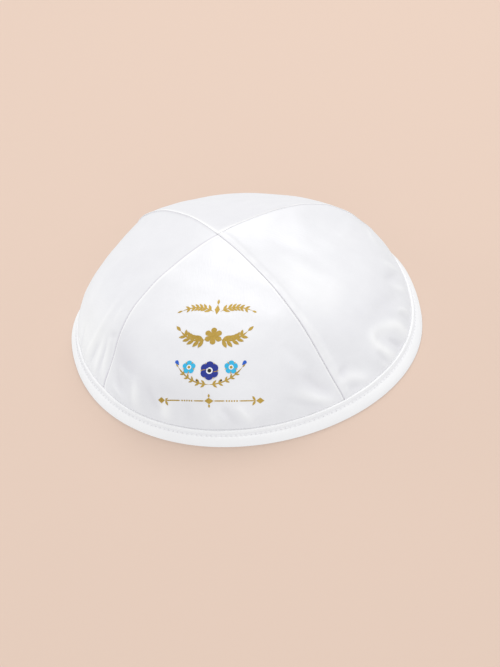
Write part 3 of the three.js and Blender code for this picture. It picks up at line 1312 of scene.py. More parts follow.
@dataclass
class FoldedBinding:
    """The satin strip folded round the rim, with the rows that its stitches pull in."""

    satin: bpy.types.Material
    stitches: int = 232  # round the rim, 2.3 mm apart
    steps_per_stitch: int = 6
    stitch_way: float = 6.2  # up the wall from the floor
    hole_share: float = 0.16  # half a hole's width, as a share of a stitch
    row_width: float = 0.4  # half the width that the stitches pull in
    hole_pull: float = 0.26  # how far a hole is pulled in
    row_swell: float = 0.12  # how far the cloth stands up between two holes
    inside_pull: float = 0.16  # how far a hole of the inside leg is pulled in
    groove_way: float = 6.95  # the middle of the groove, where painted shade lies
    # Way up the wall and how far the cloth stands out of the cap there, in millimetres: the
    # soft band, the row of stitches, the groove and the rounded lip.
    outside_rows: tuple = (
        (0.75, 0.22),
        (1.2, 0.42),
        (1.8, 0.58),
        (2.6, 0.66),
        (3.4, 0.66),
        (4.2, 0.6),
        (4.9, 0.5),
        (5.4, 0.4),
        (5.75, 0.29),
        (6.0, 0.17),
        (6.2, 0.05),
        (6.4, -0.08),
        (6.6, -0.15),
        (6.85, -0.18),
        (7.15, -0.18),
        (7.5, -0.13),
        (7.8, -0.05),
        (8.05, 0.07),
        (8.3, 0.2),
        (8.52, 0.28),
        (8.74, 0.25),
        (8.9, 0.12),
        (9.0, -0.12),
        (9.04, -0.35),
    )
    # Way up the wall and depth, from the top of the lip down into the fold.
    channel_rows: tuple = ((8.98, 0.62), (8.75, 0.85), (7.5, 0.85), (4.5, 0.7))
    # Way up the wall and depth on the inside leg: up the channel, over its edge and down.
    inside_rows: tuple = (
        (4.5, 2.5),
        (7.5, 2.42),
        (8.5, 2.34),
        (8.75, 2.4),
        (8.85, 2.7),
        (8.8, 3.0),
        (8.5, 3.22),
        (8.0, 3.3),
        (7.6, 3.3),
        (7.1, 3.22),
        (6.65, 3.05),
        (6.2, 2.9),
        (5.75, 3.05),
        (5.3, 3.2),
        (4.2, 3.3),
        (2.4, 3.32),
        (1.4, 3.26),
        (0.75, 3.2),
    )

    def facings(self, count: int) -> Numbers:
        """Spaces places evenly round the rim, measured along the row of stitches.

        Args:
            count: How many places.

        Returns:
            The places' facings in degrees.
        """
        fine = np.linspace(0, 360, 1441)
        climb = np.full_like(fine, self.stitch_way / 100)
        way = running_way(FORM.crown_point(fine, climb)[None])[0]
        return np.interp(np.arange(count) / count * way[-1], way, fine)

    def climbs_after(self, facing: Numbers, start: Numbers, ways: Numbers) -> Numbers:
        """Finds the climbs that lie some ways above a starting climb.

        Args:
            facing: One facing for each section.
            start: The climb that each section starts from.
            ways: Millimetres up the wall.

        Returns:
            A climb for each section and way.
        """
        grid = np.linspace(0, 0.32, 81)
        shape = (len(facing), len(grid))
        places = FORM.crown_point(
            np.broadcast_to(facing[:, None], shape), np.broadcast_to(grid, shape)
        )
        way = running_way(places)
        found = np.empty((len(facing), len(ways)))
        for index in range(len(facing)):
            first = np.interp(start[index], grid, way[index])
            found[index] = np.interp(first + ways, way[index], grid)
        return found

    def wall_points(self, facing: Numbers, depth: float, rows: tuple) -> Numbers:
        """Places rows of way and depth on the wall, from where a depth meets the floor.

        Args:
            facing: Facings in degrees.
            depth: Millimetres behind the outside of the cap.
            rows: Rows of millimetres up the wall and of depth.

        Returns:
            Points in millimetres.
        """
        start = FORM.climb_at_height(facing, depth, 0.0)
        ways = np.array([row[0] for row in rows])
        climbs = self.climbs_after(facing, start, ways)
        facings = np.broadcast_to(facing[:, None], climbs.shape)
        depths = np.broadcast_to(np.array([row[1] for row in rows]), climbs.shape)
        return FORM.skin_point(facings, climbs, depths)

    def corner(self, facing: Numbers, depth: float, height: float) -> Numbers:
        """Gives the point where the face at a depth reaches a height.

        Args:
            facing: Facings in degrees.
            depth: Millimetres behind the outside of the cap.
            height: Millimetres above the floor.

        Returns:
            Points in millimetres.
        """
        climb = FORM.climb_at_height(facing, depth, height)
        point = FORM.skin_point(facing, climb, np.full_like(facing, depth))
        point[..., 2] = height
        return point

    def fold(self, corner: Numbers, across: Numbers, up_the_wall: Numbers) -> Numbers:
        """Rounds a bottom fold from the flat underside to the wall.

        Args:
            corner: The sharp corner's points.
            across: The way from the corner along the underside.
            up_the_wall: Where the wall begins.

        Returns:
            The fold's points.
        """
        underside = corner + unit(across) * FORM.fold_radius
        share = np.linspace(0, 1, 6)[None, :, None]
        start, bend, end = (place[:, None] for place in (underside, corner, up_the_wall))
        return start * (1 - share) ** 2 + 2 * bend * share * (1 - share) + end * share**2

    def build(self) -> bpy.types.Object:
        """Builds the binding.

        Returns:
            The binding's object, which replaces its plain solid.
        """
        count = self.stitches * self.steps_per_stitch
        facing = self.facings(count)
        phase = np.arange(count) % self.steps_per_stitch
        hole = np.minimum(phase, self.steps_per_stitch - phase) / self.steps_per_stitch
        pull = np.exp(-((hole / self.hole_share) ** 2))
        around = FORM.crown_point(facing, np.full_like(facing, 0.05))
        slow = slow_waves(around, 38, 5)
        quick = slow_waves(around, 11, 6)

        rows = np.array(self.outside_rows)
        start = FORM.climb_at_height(facing, 0.0, 0.0)
        climbs = self.climbs_after(facing, start, rows[:, 0])
        facings = np.broadcast_to(facing[:, None], climbs.shape)
        puff = np.broadcast_to(rows[:, 1], climbs.shape).copy()
        band = np.sin(math.pi * np.clip(rows[:, 0] / self.stitch_way, 0, 1))
        puff += band * (0.05 * slow[:, None] + 0.03 * quick[:, None])
        near_row = np.exp(-(((rows[:, 0] - self.stitch_way) / self.row_width) ** 2))
        puff -= self.hole_pull * pull[:, None] * near_row
        puff += self.row_swell * (1 - pull[:, None]) * near_row
        lip = smooth_share(rows[:, 0], 7.2, 8.4)
        puff += lip * (0.05 * slow + 0.04 * quick)[:, None]
        outside = FORM.skin_point(facings, climbs, -puff)

        channel = self.wall_points(facing, FORM.binding_cloth, self.channel_rows)
        channel_foot = self.corner(facing, FORM.binding_cloth, FORM.binding_cloth)
        face_depth = FORM.tuck + FORM.panel_wall + FORM.binding_gap
        inside_depth = face_depth + FORM.binding_cloth
        leg_foot = self.corner(facing, face_depth, FORM.binding_cloth)
        up_leg = self.wall_points(facing, face_depth, self.inside_rows[:4])
        down_leg = self.wall_points(facing, inside_depth, self.inside_rows[4:])
        row_ways = np.array([row[0] for row in self.inside_rows[4:]])
        near_inside = np.exp(-(((row_ways - self.stitch_way) / self.row_width) ** 2))
        middle = FORM.outwards(facing, np.full_like(facing, 0.06))[:, None]
        down_leg = down_leg + middle * (self.inside_pull * pull[:, None] * near_inside)[..., None]

        outside_corner = self.corner(facing, 0.0, 0.0)
        inside_corner = self.corner(facing, inside_depth, 0.0)
        inwards = inside_corner - outside_corner
        outer_fold = self.fold(outside_corner, inwards, outside[:, 0])[:, :-1]
        inner_fold = self.fold(inside_corner, -inwards, down_leg[:, -1])[:, ::-1][:, 1:]
        section = np.concatenate(
            [
                outer_fold,
                outside,
                channel,
                channel_foot[:, None],
                leg_foot[:, None],
                up_leg,
                down_leg,
                inner_fold,
            ],
            axis=1,
        )
        # Painted shade in the stitch holes and along the groove.
        shade = np.zeros(section.shape[:2])
        first = outer_fold.shape[1]
        at_row = np.exp(-(((rows[:, 0] - self.stitch_way) / 0.22) ** 2))
        at_groove = np.exp(-(((rows[:, 0] - self.groove_way) / 0.45) ** 2))
        shade[:, first : first + len(rows)] = 0.7 * pull[:, None] * at_row + 0.3 * at_groove
        return self.sweep(section, shade)

    def sweep(self, section: Numbers, shade: Numbers) -> bpy.types.Object:
        """Joins the sections round the rim into one closed ring.

        Args:
            section: The points of each section, as closed loops.
            shade: The painted shade at each point.

        Returns:
            The binding's object.
        """
        steps, size = section.shape[:2]
        numbers = np.arange(steps * size).reshape(steps, size)
        after = np.roll(numbers, -1, axis=0)
        above = np.roll(numbers, -1, axis=1)
        both = np.roll(after, -1, axis=1)
        faces = np.stack([numbers, after, both, above], axis=-1).reshape(-1, 4)
        girth = running_way(section)
        round_way = running_way(section[:, 12][None])[0]
        along = np.broadcast_to(round_way[:, None], (steps, size))
        cloth_map = np.stack([along, girth], axis=-1).reshape(-1, 2)
        piece = cloth_mesh(
            "rim_binding_cloth",
            section.reshape(-1, 3),
            faces,
            [self.satin],
            None,
            cloth_map,
            shade.ravel(),
        )
        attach(piece, "root")
        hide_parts("rim_binding")
        return piece


def points_object(name: str, points: Numbers, vectors: dict[str, Numbers]) -> bpy.types.Object:
    """Makes loose points that carry vectors, for a Geometry Nodes tree to put pieces on.

    Args:
        name: The piece's name.
        points: Points in millimetres.
        vectors: Named vectors, one for each point.

    Returns:
        The linked object.
    """
    mesh = bpy.data.meshes.new(name)
    mesh.from_pydata((points * METRES).tolist(), [], [])
    for key, rows in vectors.items():
        attribute = mesh.attributes.new(key, "FLOAT_VECTOR", "POINT")
        attribute.data.foreach_set("vector", rows.astype(np.float32).ravel())
    return linked(name, mesh)


def run_tree(piece: bpy.types.Object, tree: bpy.types.NodeTree, values: dict) -> None:
    """Runs a Geometry Nodes tree on a piece and keeps the result as a plain mesh.

    Args:
        piece: The object that the tree starts from.
        tree: The tree.
        values: The tree's inputs, by name.
    """
    modifier = piece.modifiers.new("pattern", "NODES")
    modifier.node_group = tree
    sockets = {
        item.name: item.identifier
        for item in tree.interface.items_tree
        if item.item_type == "SOCKET" and item.in_out == "INPUT"
    }
    for name, value in values.items():
        modifier[sockets[name]] = value
    shaped = piece.evaluated_get(bpy.context.evaluated_depsgraph_get())
    mesh = bpy.data.meshes.new_from_object(shaped)
    piece.modifiers.remove(modifier)
    piece.data = mesh


def facing_points(tree: bpy.types.NodeTree) -> bpy.types.NodeSocket:
    """Adds the nodes that turn a piece along its point's way and out of the cloth.

    Args:
        tree: The tree that they go in.

    Returns:
        The rotation that they give.
    """
    along, outward = (
        add_node(
            tree, "GeometryNodeInputNamedAttribute", {"Name": name}, data_type="FLOAT_VECTOR"
        ).outputs["Attribute"]
        for name in ("along", "outward")
    )
    forwards = add_node(
        tree,
        "FunctionNodeAlignRotationToVector",
        links={"Vector": along},
        axis="X",
    )
    upright = add_node(
        tree,
        "FunctionNodeAlignRotationToVector",
        links={"Rotation": forwards.outputs["Rotation"], "Vector": outward},
        axis="Z",
        pivot_axis="X",
    )
    return upright.outputs["Rotation"]


def end_tree(
    tree: bpy.types.NodeTree,
    instances: bpy.types.NodeSocket,
    material: bpy.types.NodeSocket,
    smooth: bool = True,
) -> None:
    """Ends a tree: makes its instances a real mesh and dresses it.

    Args:
        tree: The tree.
        instances: What the tree has made.
        material: The input that gives its material.
        smooth: True for round pieces, False for flat ones.
    """
    made = add_node(tree, "GeometryNodeRealizeInstances", links={"Geometry": instances})
    if smooth:
        made = add_node(tree, "GeometryNodeSetShadeSmooth", links={0: made.outputs[0]})
    dressed = add_node(
        tree, "GeometryNodeSetMaterial", links={0: made.outputs[0], "Material": material}
    )
    add_node(tree, "NodeGroupOutput", links={0: dressed.outputs[0]})


@dataclass
class StitchRow:
    """Sewing thread that lies along a row, one arched stitch between each two holes."""

    name: str
    thread: bpy.types.Material
    length: float = 1.7  # of the thread that shows, in millimetres
    radius: float = 0.16
    arch: float = 0.16  # how far the middle of a stitch stands above its ends
    slant: float = 9.0  # degrees that a stitch lies across its row
    uneven: float = 0.06  # how much the stitches differ in length

    def tree(self) -> bpy.types.NodeTree:
        """Builds the tree that puts a stitch on each point.

        Returns:
            A tree with named inputs for the stitch's sizes.
        """
        sizes = dict.fromkeys(("Length", "Radius", "Arch", "Slant", "Uneven"), "Float")
        tree = new_tree("stitches", {**sizes, "Seed": "Int", "Thread": "Material"})
        given = add_node(tree, "NodeGroupInput").outputs
        sums = {
            key: add_node(
                tree, "ShaderNodeMath", {0: number}, {1: given[name]}, operation=operation
            ).outputs[0]
            for key, operation, number, name in (
                ("half", "MULTIPLY", 0.5, "Length"),
                ("back", "MULTIPLY", -0.5, "Length"),
                ("top", "MULTIPLY", 2.0, "Arch"),
                ("shortest", "SUBTRACT", 1.0, "Uneven"),
                ("longest", "ADD", 1.0, "Uneven"),
            )
        }
        start = add_node(tree, "ShaderNodeCombineXYZ", links={"X": sums["back"]})
        middle = add_node(tree, "ShaderNodeCombineXYZ", links={"Z": sums["top"]})
        end = add_node(tree, "ShaderNodeCombineXYZ", links={"X": sums["half"]})
        path = add_node(
            tree,
            "GeometryNodeCurveQuadraticBezier",
            {"Resolution": 5},
            {
                "Start": start.outputs[0],
                "Middle": middle.outputs[0],
                "End": end.outputs[0],
            },
        )
        ring = add_node(
            tree, "GeometryNodeCurvePrimitiveCircle", {"Resolution": 6}, {"Radius": given["Radius"]}
        )
        strand = add_node(
            tree,
            "GeometryNodeCurveToMesh",
            {"Fill Caps": True},
            {"Curve": path.outputs["Curve"], "Profile Curve": ring.outputs["Curve"]},
        )
        lean = add_node(
            tree, "FunctionNodeAxisAngleToRotation", {"Axis": (0, 0, 1)}, {"Angle": given["Slant"]}
        )
        way = add_node(
            tree,
            "FunctionNodeRotateRotation",
            links={"Rotation": facing_points(tree), "Rotate By": lean.outputs["Rotation"]},
            rotation_space="LOCAL",
        )
        size = add_node(
            tree,
            "FunctionNodeRandomValue",
            links={"Min": sums["shortest"], "Max": sums["longest"], "Seed": given["Seed"]},
            data_type="FLOAT",
        )
        sewn = add_node(
            tree,
            "GeometryNodeInstanceOnPoints",
            links={
                "Points": given["Geometry"],
                "Instance": strand.outputs["Mesh"],
                "Rotation": way.outputs["Rotation"],
                "Scale": size.outputs["Value"],
            },
        )
        end_tree(tree, sewn.outputs["Instances"], given["Thread"])
        return tree

    def sew(self, points: Numbers, along: Numbers, outward: Numbers) -> bpy.types.Object:
        """Sews a stitch at each point.

        Args:
            points: The middle of each stitch, in millimetres.
            along: The way that each stitch runs.
            outward: The way that the cloth faces there.

        Returns:
            The row's object.
        """
        row = points_object(self.name, points, {"along": along, "outward": outward})
        values = {
            "Length": self.length * METRES,
            "Radius": self.radius * METRES,
            "Arch": self.arch * METRES,
            "Slant": math.radians(self.slant),
            "Uneven": self.uneven,
            "Seed": 7,
            "Thread": self.thread,
        }
        run_tree(row, self.tree(), values)
        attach(row, "root")
        return row


@dataclass
class Sewing:
    """All the thread that shows: two rows round the binding and one in each seam."""

    binding: FoldedBinding
    thread: bpy.types.Material
    seam_pitch: float = 1.9  # between the stitches of a seam, in millimetres
    seam_top: float = 0.86  # climb above which a seam's stitches are drawn tight and don't show

    def rim_row(self, name: str, depth: float, inside: bool) -> bpy.types.Object:
        """Sews one row round the rim.

        Args:
            name: The row's name.
            depth: How far the row lies behind the outside of the cap.
            inside: True for the row on the inside leg.

        Returns:
            The row's object.
        """
        steps = self.binding.stitches
        facing = self.binding.facings(steps * 2)[1::2]
        base_depth = depth if inside else 0.0
        start = FORM.climb_at_height(facing, base_depth, 0.0)
        climb = self.binding.climbs_after(facing, start, np.array([self.binding.stitch_way]))[:, 0]
        points = FORM.skin_point(facing, climb, np.full_like(facing, depth))
        ahead = FORM.crown_point(facing + 0.5, climb) - FORM.crown_point(facing - 0.5, climb)
        outward = FORM.outwards(facing, climb)
        if inside:
            outward = -outward
        row = StitchRow(name, self.thread)
        return row.sew(points, unit(ahead), outward)

    def seam_row(self, seam: Seam) -> bpy.types.Object:
        """Sews the threads that cross a seam where it is drawn open.

        Args:
            seam: The seam.

        Returns:
            The row's object.
        """
        fine = np.linspace(0.12, self.seam_top, 400)
        facing = np.full_like(fine, seam.facing)
        way = running_way(FORM.crown_point(facing, fine)[None])[0]
        lip = FORM.way_up(facing[:1], fine[:1])[0]
        first = FORM.binding_width - lip + 1.2
        places = np.arange(first, way[-1], self.seam_pitch)
        climb = np.interp(places, way, fine)
        facing = np.full_like(climb, seam.facing)
        depth = free_depth(facing, climb) + 0.12
        points = FORM.skin_point(facing, climb, depth)
        up = FORM.upwards(facing, climb)
        outward = FORM.outwards(facing, climb)
        across = unit(np.cross(up, outward))
        row = StitchRow(
            f"seam_stitches_{seam.facing % 360:.0f}",
            self.thread,
            length=0.8,
            radius=0.11,
            arch=0.05,
            slant=24.0,
        )
        return row.sew(points, across, outward)

    def build(self) -> list[bpy.types.Object]:
        """Sews all the rows.

        Returns:
            The rows' objects.
        """
        rows = [
            self.rim_row("binding_stitches", 0.0, False),
            self.rim_row("binding_stitches_inside", 3.0, True),
        ]
        return rows + [self.seam_row(seam) for seam in FORM.seams]


class Stamp(Enum):
    """The shapes that the print is stamped with, as half widths along a length of 1."""

    LEAF = ((0.0, 0.0), (0.1, 0.2), (0.28, 0.4), (0.5, 0.5), (0.72, 0.38), (0.9, 0.16), (1.0, 0.0))
    PETAL = (
        *((0.0, 0.06), (0.2, 0.2), (0.45, 0.4), (0.68, 0.5)),
        *((0.86, 0.42), (0.96, 0.22), (1.0, 0.0)),
    )
    DIAMOND = ((0.0, 0.0), (0.25, 0.25), (0.5, 0.5), (0.75, 0.25), (1.0, 0.0))
    DOT = (
        *((0.0, 0.0), (0.07, 0.26), (0.25, 0.43), (0.5, 0.5)),
        *((0.75, 0.43), (0.93, 0.26), (1.0, 0.0)),
    )

    def outline(self) -> list[tuple[float, float]]:
        """Gives the shape's outline, anticlockwise.

        Returns:
            Its corners, along and across.
        """
        right = [(along, -half) for along, half in self.value]
        left = [(along, half) for along, half in reversed(self.value[1:-1])]
        if self.value[0][1] > 0:
            left.append(self.value[0])
        return right + left


@dataclass(frozen=True)
class Mark:
    """One stamped mark of the print."""

    stamp: Stamp
    ink: Ink
    across: float  # its start, in millimetres from the middle of the print
    up: float  # millimetres up the panel from the floor
    way: float  # degrees that it points, anticlockwise from level
    length: float
    width: float
    layer: float = 0.0  # how far it lies above the first layer of ink

    def mirrored(self) -> Mark:
        """Gives the same mark on the other side of the middle."""
        return replace(self, across=-self.across, way=180 - self.way)


@dataclass
class PrintPlace:
    """The flat sheet that the print was laid out on, as the front panel's cloth now carries it.

    A row of the print is straight on the flat cloth, so on the cap it stays in a plane square
    to the panel's middle.
    """

    ink_height: float = 0.05  # how far the ink stands above the cloth, in millimetres
    middle_x: float = 1.0  # where the middle of the print lies on X
    row_way: tuple = (1.0, 0.035, 0.012)  # the way that its rows run
    face_way: tuple = (0.15, -0.78, 0.61)  # the way that it faces

    def middle(self, up: Numbers) -> Numbers:
        """Gives the middle of the print at some ways up the panel, in millimetres.

        Args:
            up: Millimetres up the panel from the floor.

        Returns:
            Points in millimetres.
        """
        climbs = np.linspace(0.15, 0.95, 81)
        facings = np.linspace(-100, -74, 53)
        facing, climb = np.meshgrid(facings, climbs)
        across = FORM.crown_point(facing, climb)[..., 0]
        middle = np.array([np.interp(self.middle_x, row, facings) for row in across])
        ways = FORM.way_up(middle, climbs)
        return FORM.crown_point(np.interp(up, ways, middle), np.interp(up, ways, climbs))

    def surface(self, across: Numbers, up: Numbers, layer: Numbers | float = 0.0) -> Numbers:
        """Places points of the print on the cloth.

        Args:
            across: Millimetres to the right of the middle.
            up: Millimetres up the panel from the floor.
            layer: How far the points lie above the first layer of ink.

        Returns:
            Points in millimetres.
        """
        row = unit(np.array(self.row_way))
        upright = unit(np.cross(np.array(self.face_way), row))
        wanted = self.middle(up) + across[:, None] * row
        facing = -88.0 + across * 0.9
        climb = np.full_like(facing, 0.55)
        for _ in range(12):
            place = FORM.crown_point(facing, climb)
            by_turn = (FORM.crown_point(facing + 0.1, climb) - place) / 0.1
            by_climb = (FORM.crown_point(facing, climb + 0.002) - place) / 0.002
            missing = wanted - place
            right, above = missing @ row, missing @ upright
            a, b, c, d = by_turn @ row, by_climb @ row, by_turn @ upright, by_climb @ upright
            whole = a * d - b * c
            facing = np.clip(facing + (d * right - b * above) / whole, -134, -46)
            climb = np.clip(climb + (a * above - c * right) / whole, 0.12, 0.97)
        depth = free_depth(facing, climb) - self.ink_height - layer
        return FORM.skin_point(facing, climb, depth)


@dataclass
class PanelPrint:
    """A mirrored ornament of leaves, blossoms and beads, printed level on the front panel."""

    place: PrintPlace = field(default_factory=PrintPlace)
    crest_up: float = 67.5  # the small sprig, up the panel from the floor
    garland_up: float = 54.0  # the bold garland
    spray_up: float = 37.5  # the blossoms
    rule_up: float = 23.8  # the beaded rule
    rule_reach: float = 23.0

    def branch(
        self, start: tuple[float, float], bend: tuple[float, float], end: tuple[float, float]
    ) -> Numbers:
        """Gives a stem as a smooth line across and up the panel.

        Args:
            start: Where it starts.
            bend: The point that it bends towards.
            end: Where it ends.

        Returns:
            Points across and up the flat cloth.
        """
        share = np.linspace(0, 1, 33)[:, None]
        points = [np.array(place) for place in (start, bend, end)]
        return (
            points[0] * (1 - share) ** 2
            + 2 * points[1] * share * (1 - share)
            + points[2] * share**2
        )

    def leaves_on(
        self, stem: Numbers, count: int, length: float, width: float, spread: float, ink: Ink
    ) -> list[Mark]:
        """Sets pairs of leaves along a stem, smaller towards its end.

        Args:
            stem: The stem's line.
            count: How many pairs.
            length: Of the first leaf.
            width: Of the first leaf.
            spread: Degrees between a leaf and the stem.
            ink: The leaves' ink.

        Returns:
            The leaves, and one at the stem's end.
        """
        marks = []
        for pair in range(count):
            share = 0.12 + 0.8 * pair / count
            at = int(share * (len(stem) - 1))
            ahead = stem[at + 1] - stem[at]
            way = math.degrees(math.atan2(ahead[1], ahead[0]))
            size = 1 - 0.3 * share
            for side in (-1, 1):
                turned = way + side * spread
                mark = Mark(
                    Stamp.LEAF, ink, stem[at][0], stem[at][1], turned, length * size, width * size
                )
                marks.append(mark)
        ahead = stem[-1] - stem[-2]
        way = math.degrees(math.atan2(ahead[1], ahead[0]))
        marks.append(
            Mark(Stamp.LEAF, ink, stem[-1][0], stem[-1][1], way, length * 0.75, width * 0.75)
        )
        return marks

    def blossom(
        self, across: float, up: float, size: float, petals: int, ink: Ink, eye: Ink
    ) -> list[Mark]:
        """Sets petals round an eye.

        Args:
            across: The blossom's middle.
            up: The blossom's middle.
            size: Its radius in millimetres.
            petals: How many.
            ink: The petals' ink.
            eye: The ink of the middle.

        Returns:
            The blossom's marks.
        """
        marks = []
        for index in range(petals):
            way = 90 + 360 * index / petals
            sepal = way + 180 / petals
            marks.append(
                Mark(Stamp.LEAF, GOLD_INK, across, up, sepal, size * 0.98, size * 0.3, -0.01)
            )
            marks.append(Mark(Stamp.PETAL, ink, across, up, way, size, size * 0.8, 0.01))
        for ink_of, radius, layer in ((WHITE_INK, 0.36, 0.03), (eye, 0.22, 0.05)):
            reach = size * radius
            wide = reach * 2
            marks.append(Mark(Stamp.DOT, ink_of, across - reach, up, 0, wide, wide, layer))
        return marks

    def stems(self) -> list[tuple[Numbers, float]]:
        """Gives the right-hand stems, each with half its width in millimetres.

        Returns:
            The stems.
        """
        crest, garland, spray = self.crest_up, self.garland_up, self.spray_up
        return [
            (self.branch((1.6, crest - 1.0), (8.0, crest + 3.2), (16.0, crest - 0.6)), 0.3),
            (self.branch((3.2, garland - 1.6), (9.5, garland - 4.2), (15.4, garland + 2.4)), 0.4),
            (self.branch((0.0, spray - 6.2), (9.0, spray - 6.0), (14.6, spray + 1.6)), 0.3),
            (self.branch((2.2, self.rule_up), (4.5, self.rule_up), (7.2, self.rule_up)), 0.28),
            (self.branch((13.4, self.rule_up), (17.0, self.rule_up), (20.6, self.rule_up)), 0.28),
        ]

    def marks(self) -> list[Mark]:
        """Gives every mark of the print, on both sides.

        Returns:
            The marks.
        """
        crest, garland, spray, rule = self.crest_up, self.garland_up, self.spray_up, self.rule_up
        stems = [line for line, _ in self.stems()]
        side = self.leaves_on(stems[0], 6, 3.4, 1.3, 40, GOLD_INK)
        side += self.leaves_on(stems[1], 5, 4.5, 2.0, 46, GOLD_INK)
        side += self.leaves_on(stems[2], 5, 2.7, 1.0, 40, GOLD_INK)
        side += self.blossom(9.6, spray + 1.6, 3.1, 5, SKY_INK, GOLD_INK)
        side += [Mark(Stamp.PETAL, BLUE_INK, 14.4, spray + 2.6, 50, 2.6, 1.7, 0.02)]
        side += [Mark(Stamp.DOT, BLACK_INK, 4.9, spray - 4.3, 0, 1.1, 1.1, 0.02)]
        for step in range(5):
            across = 8.0 + 1.15 * step
            side.append(Mark(Stamp.DOT, GOLD_INK, across - 0.4, rule, 0, 0.8, 0.8))
        side.append(Mark(Stamp.DIAMOND, GOLD_INK, self.rule_reach - 2.2, rule, 0, 3.8, 2.8))
        side.append(Mark(Stamp.LEAF, GOLD_INK, self.rule_reach - 2.4, rule, 120, 2.6, 1.1))
        side.append(Mark(Stamp.LEAF, GOLD_INK, self.rule_reach - 2.4, rule, -120, 2.6, 1.1))
        middle = [
            Mark(Stamp.DIAMOND, GOLD_INK, 0, crest - 2.6, 90, 5.2, 2.4),
            Mark(Stamp.LEAF, GOLD_INK, 0, crest + 2.8, 90, 2.8, 1.2),
            Mark(Stamp.DIAMOND, GOLD_INK, -2.1, rule, 0, 4.2, 3.0),
            Mark(Stamp.LEAF, GOLD_INK, 0, rule + 1.5, 90, 1.8, 1.0),
            Mark(Stamp.LEAF, GOLD_INK, 0, rule - 1.5, -90, 1.8, 1.0),
        ]
        for way in (-90, -30, 30, 90, 150, 210):
            middle.append(Mark(Stamp.PETAL, GOLD_INK, 0, garland, way, 4.2, 2.7))
        middle += self.blossom(0, spray, 4.3, 6, NAVY_INK, BLACK_INK)
        return side + [mark.mirrored() for mark in side] + middle

    def template(self, stamp: Stamp) -> bpy.types.Object:
        """Makes a stamp as a flat shape of length 1, for the tree to copy.

        Args:
            stamp: The shape.

        Returns:
            The shape's object.
        """
        outline = stamp.outline()
        corners = [(along, half, 0.0) for along, half in outline]
        middle = (0.5, 0.0, 0.0)
        count = len(corners)
        mesh = bpy.data.meshes.new(stamp.name)
        faces = [(index, (index + 1) % count, count) for index in range(count)]
        mesh.from_pydata([*corners, middle], [], faces)
        return linked(stamp.name, mesh)

    def tree(self) -> bpy.types.NodeTree:
        """Builds the tree that puts a stamp on each point.

        Returns:
            A tree with inputs for the stamp and its ink.
        """
        tree = new_tree("stamps", {"Stamp": "Object", "Ink": "Material"})
        given = add_node(tree, "NodeGroupInput").outputs
        shape = add_node(
            tree, "GeometryNodeObjectInfo", {"As Instance": False}, {"Object": given["Stamp"]}
        )
        size = add_node(
            tree, "GeometryNodeInputNamedAttribute", {"Name": "size"}, data_type="FLOAT_VECTOR"
        )
        stamped = add_node(
            tree,
            "GeometryNodeInstanceOnPoints",
            links={
                "Points": given["Geometry"],
                "Instance": shape.outputs["Geometry"],
                "Rotation": facing_points(tree),
                "Scale": size.outputs["Attribute"],
            },
        )
        end_tree(tree, stamped.outputs["Instances"], given["Ink"], smooth=False)
        return tree

    def stamp_marks(
        self, stamp: Stamp, ink: Ink, marks: list[Mark], material: bpy.types.Material
    ) -> bpy.types.Object:
        """Prints all the marks of one shape and one ink.

        Args:
            stamp: Their shape.
            ink: Their ink.
            marks: The marks.
            material: The ink's material.

        Returns:
            The printed object.
        """
        across = np.array([mark.across for mark in marks])
        up = np.array([mark.up for mark in marks])
        layer = np.array([mark.layer for mark in marks])
        ways = np.radians([mark.way for mark in marks])
        points = self.place.surface(across, up, layer)
        ahead = self.place.surface(across + np.cos(ways), up + np.sin(ways), layer)
        beside = self.place.surface(across - np.sin(ways), up + np.cos(ways), layer)
        along = unit(ahead - points)
        outward = unit(np.cross(along, beside - points))
        size = np.array([[mark.length, mark.width, 1.0] for mark in marks]) * METRES
        name = f"print_{ink.name}_{stamp.name.lower()}"
        piece = points_object(name, points, {"along": along, "outward": outward, "size": size})
        template = self.template(stamp)
        run_tree(piece, self.tree(), {"Stamp": template, "Ink": material})
        bpy.data.objects.remove(template)
        return piece

    def draw_stem(
        self, number: int, line: Numbers, half: float, ink: bpy.types.Material
    ) -> bpy.types.Object:
        """Draws a stem as a ribbon of ink that tapers at both ends.

        Args:
            number: The stem's number, for its name.
            line: The stem's line.
            half: Half its width in millimetres.
            ink: Its material.

        Returns:
            The ribbon's object.
        """
        ahead = np.gradient(line, axis=0)
        aside = unit(np.stack([-ahead[:, 1], ahead[:, 0]], axis=-1))
        share = np.linspace(0, 1, len(line))
        width = half * np.clip(np.minimum(share, 1 - share) * 8, 0.15, 1)
        sides = [line + aside * (width * place)[:, None] for place in (1, 0, -1)]
        flat = np.stack(sides, axis=1).reshape(-1, 2)
        points = self.place.surface(flat[:, 0], flat[:, 1], 0.005)
        numbers = np.arange(len(points)).reshape(-1, 3)
        a, b = numbers[:-1, :-1].ravel(), numbers[:-1, 1:].ravel()
        c, d = numbers[1:, 1:].ravel(), numbers[1:, :-1].ravel()
        return cloth_mesh(f"print_stem_{number}", points, np.stack([a, b, c, d], axis=1), [ink])

    def build(self) -> list[bpy.types.Object]:
        """Prints the ornament.

        Returns:
            The printed objects.
        """
        marks = self.marks()
        inks = {ink.name: ink.material() for ink in INKS}
        pieces = []
        for stamp in Stamp:
            for ink in INKS:
                chosen = [mark for mark in marks if mark.stamp is stamp and mark.ink is ink]
                if chosen:
                    pieces.append(self.stamp_marks(stamp, ink, chosen, inks[ink.name]))
        number = 0
        for line, half in self.stems():
            for side in (1, -1):
                mirrored = line * np.array([side, 1])
                number += 1
                pieces.append(self.draw_stem(number, mirrored, half * side, inks["gold_ink"]))
        for piece in pieces:
            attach(piece, "root")
        return pieces


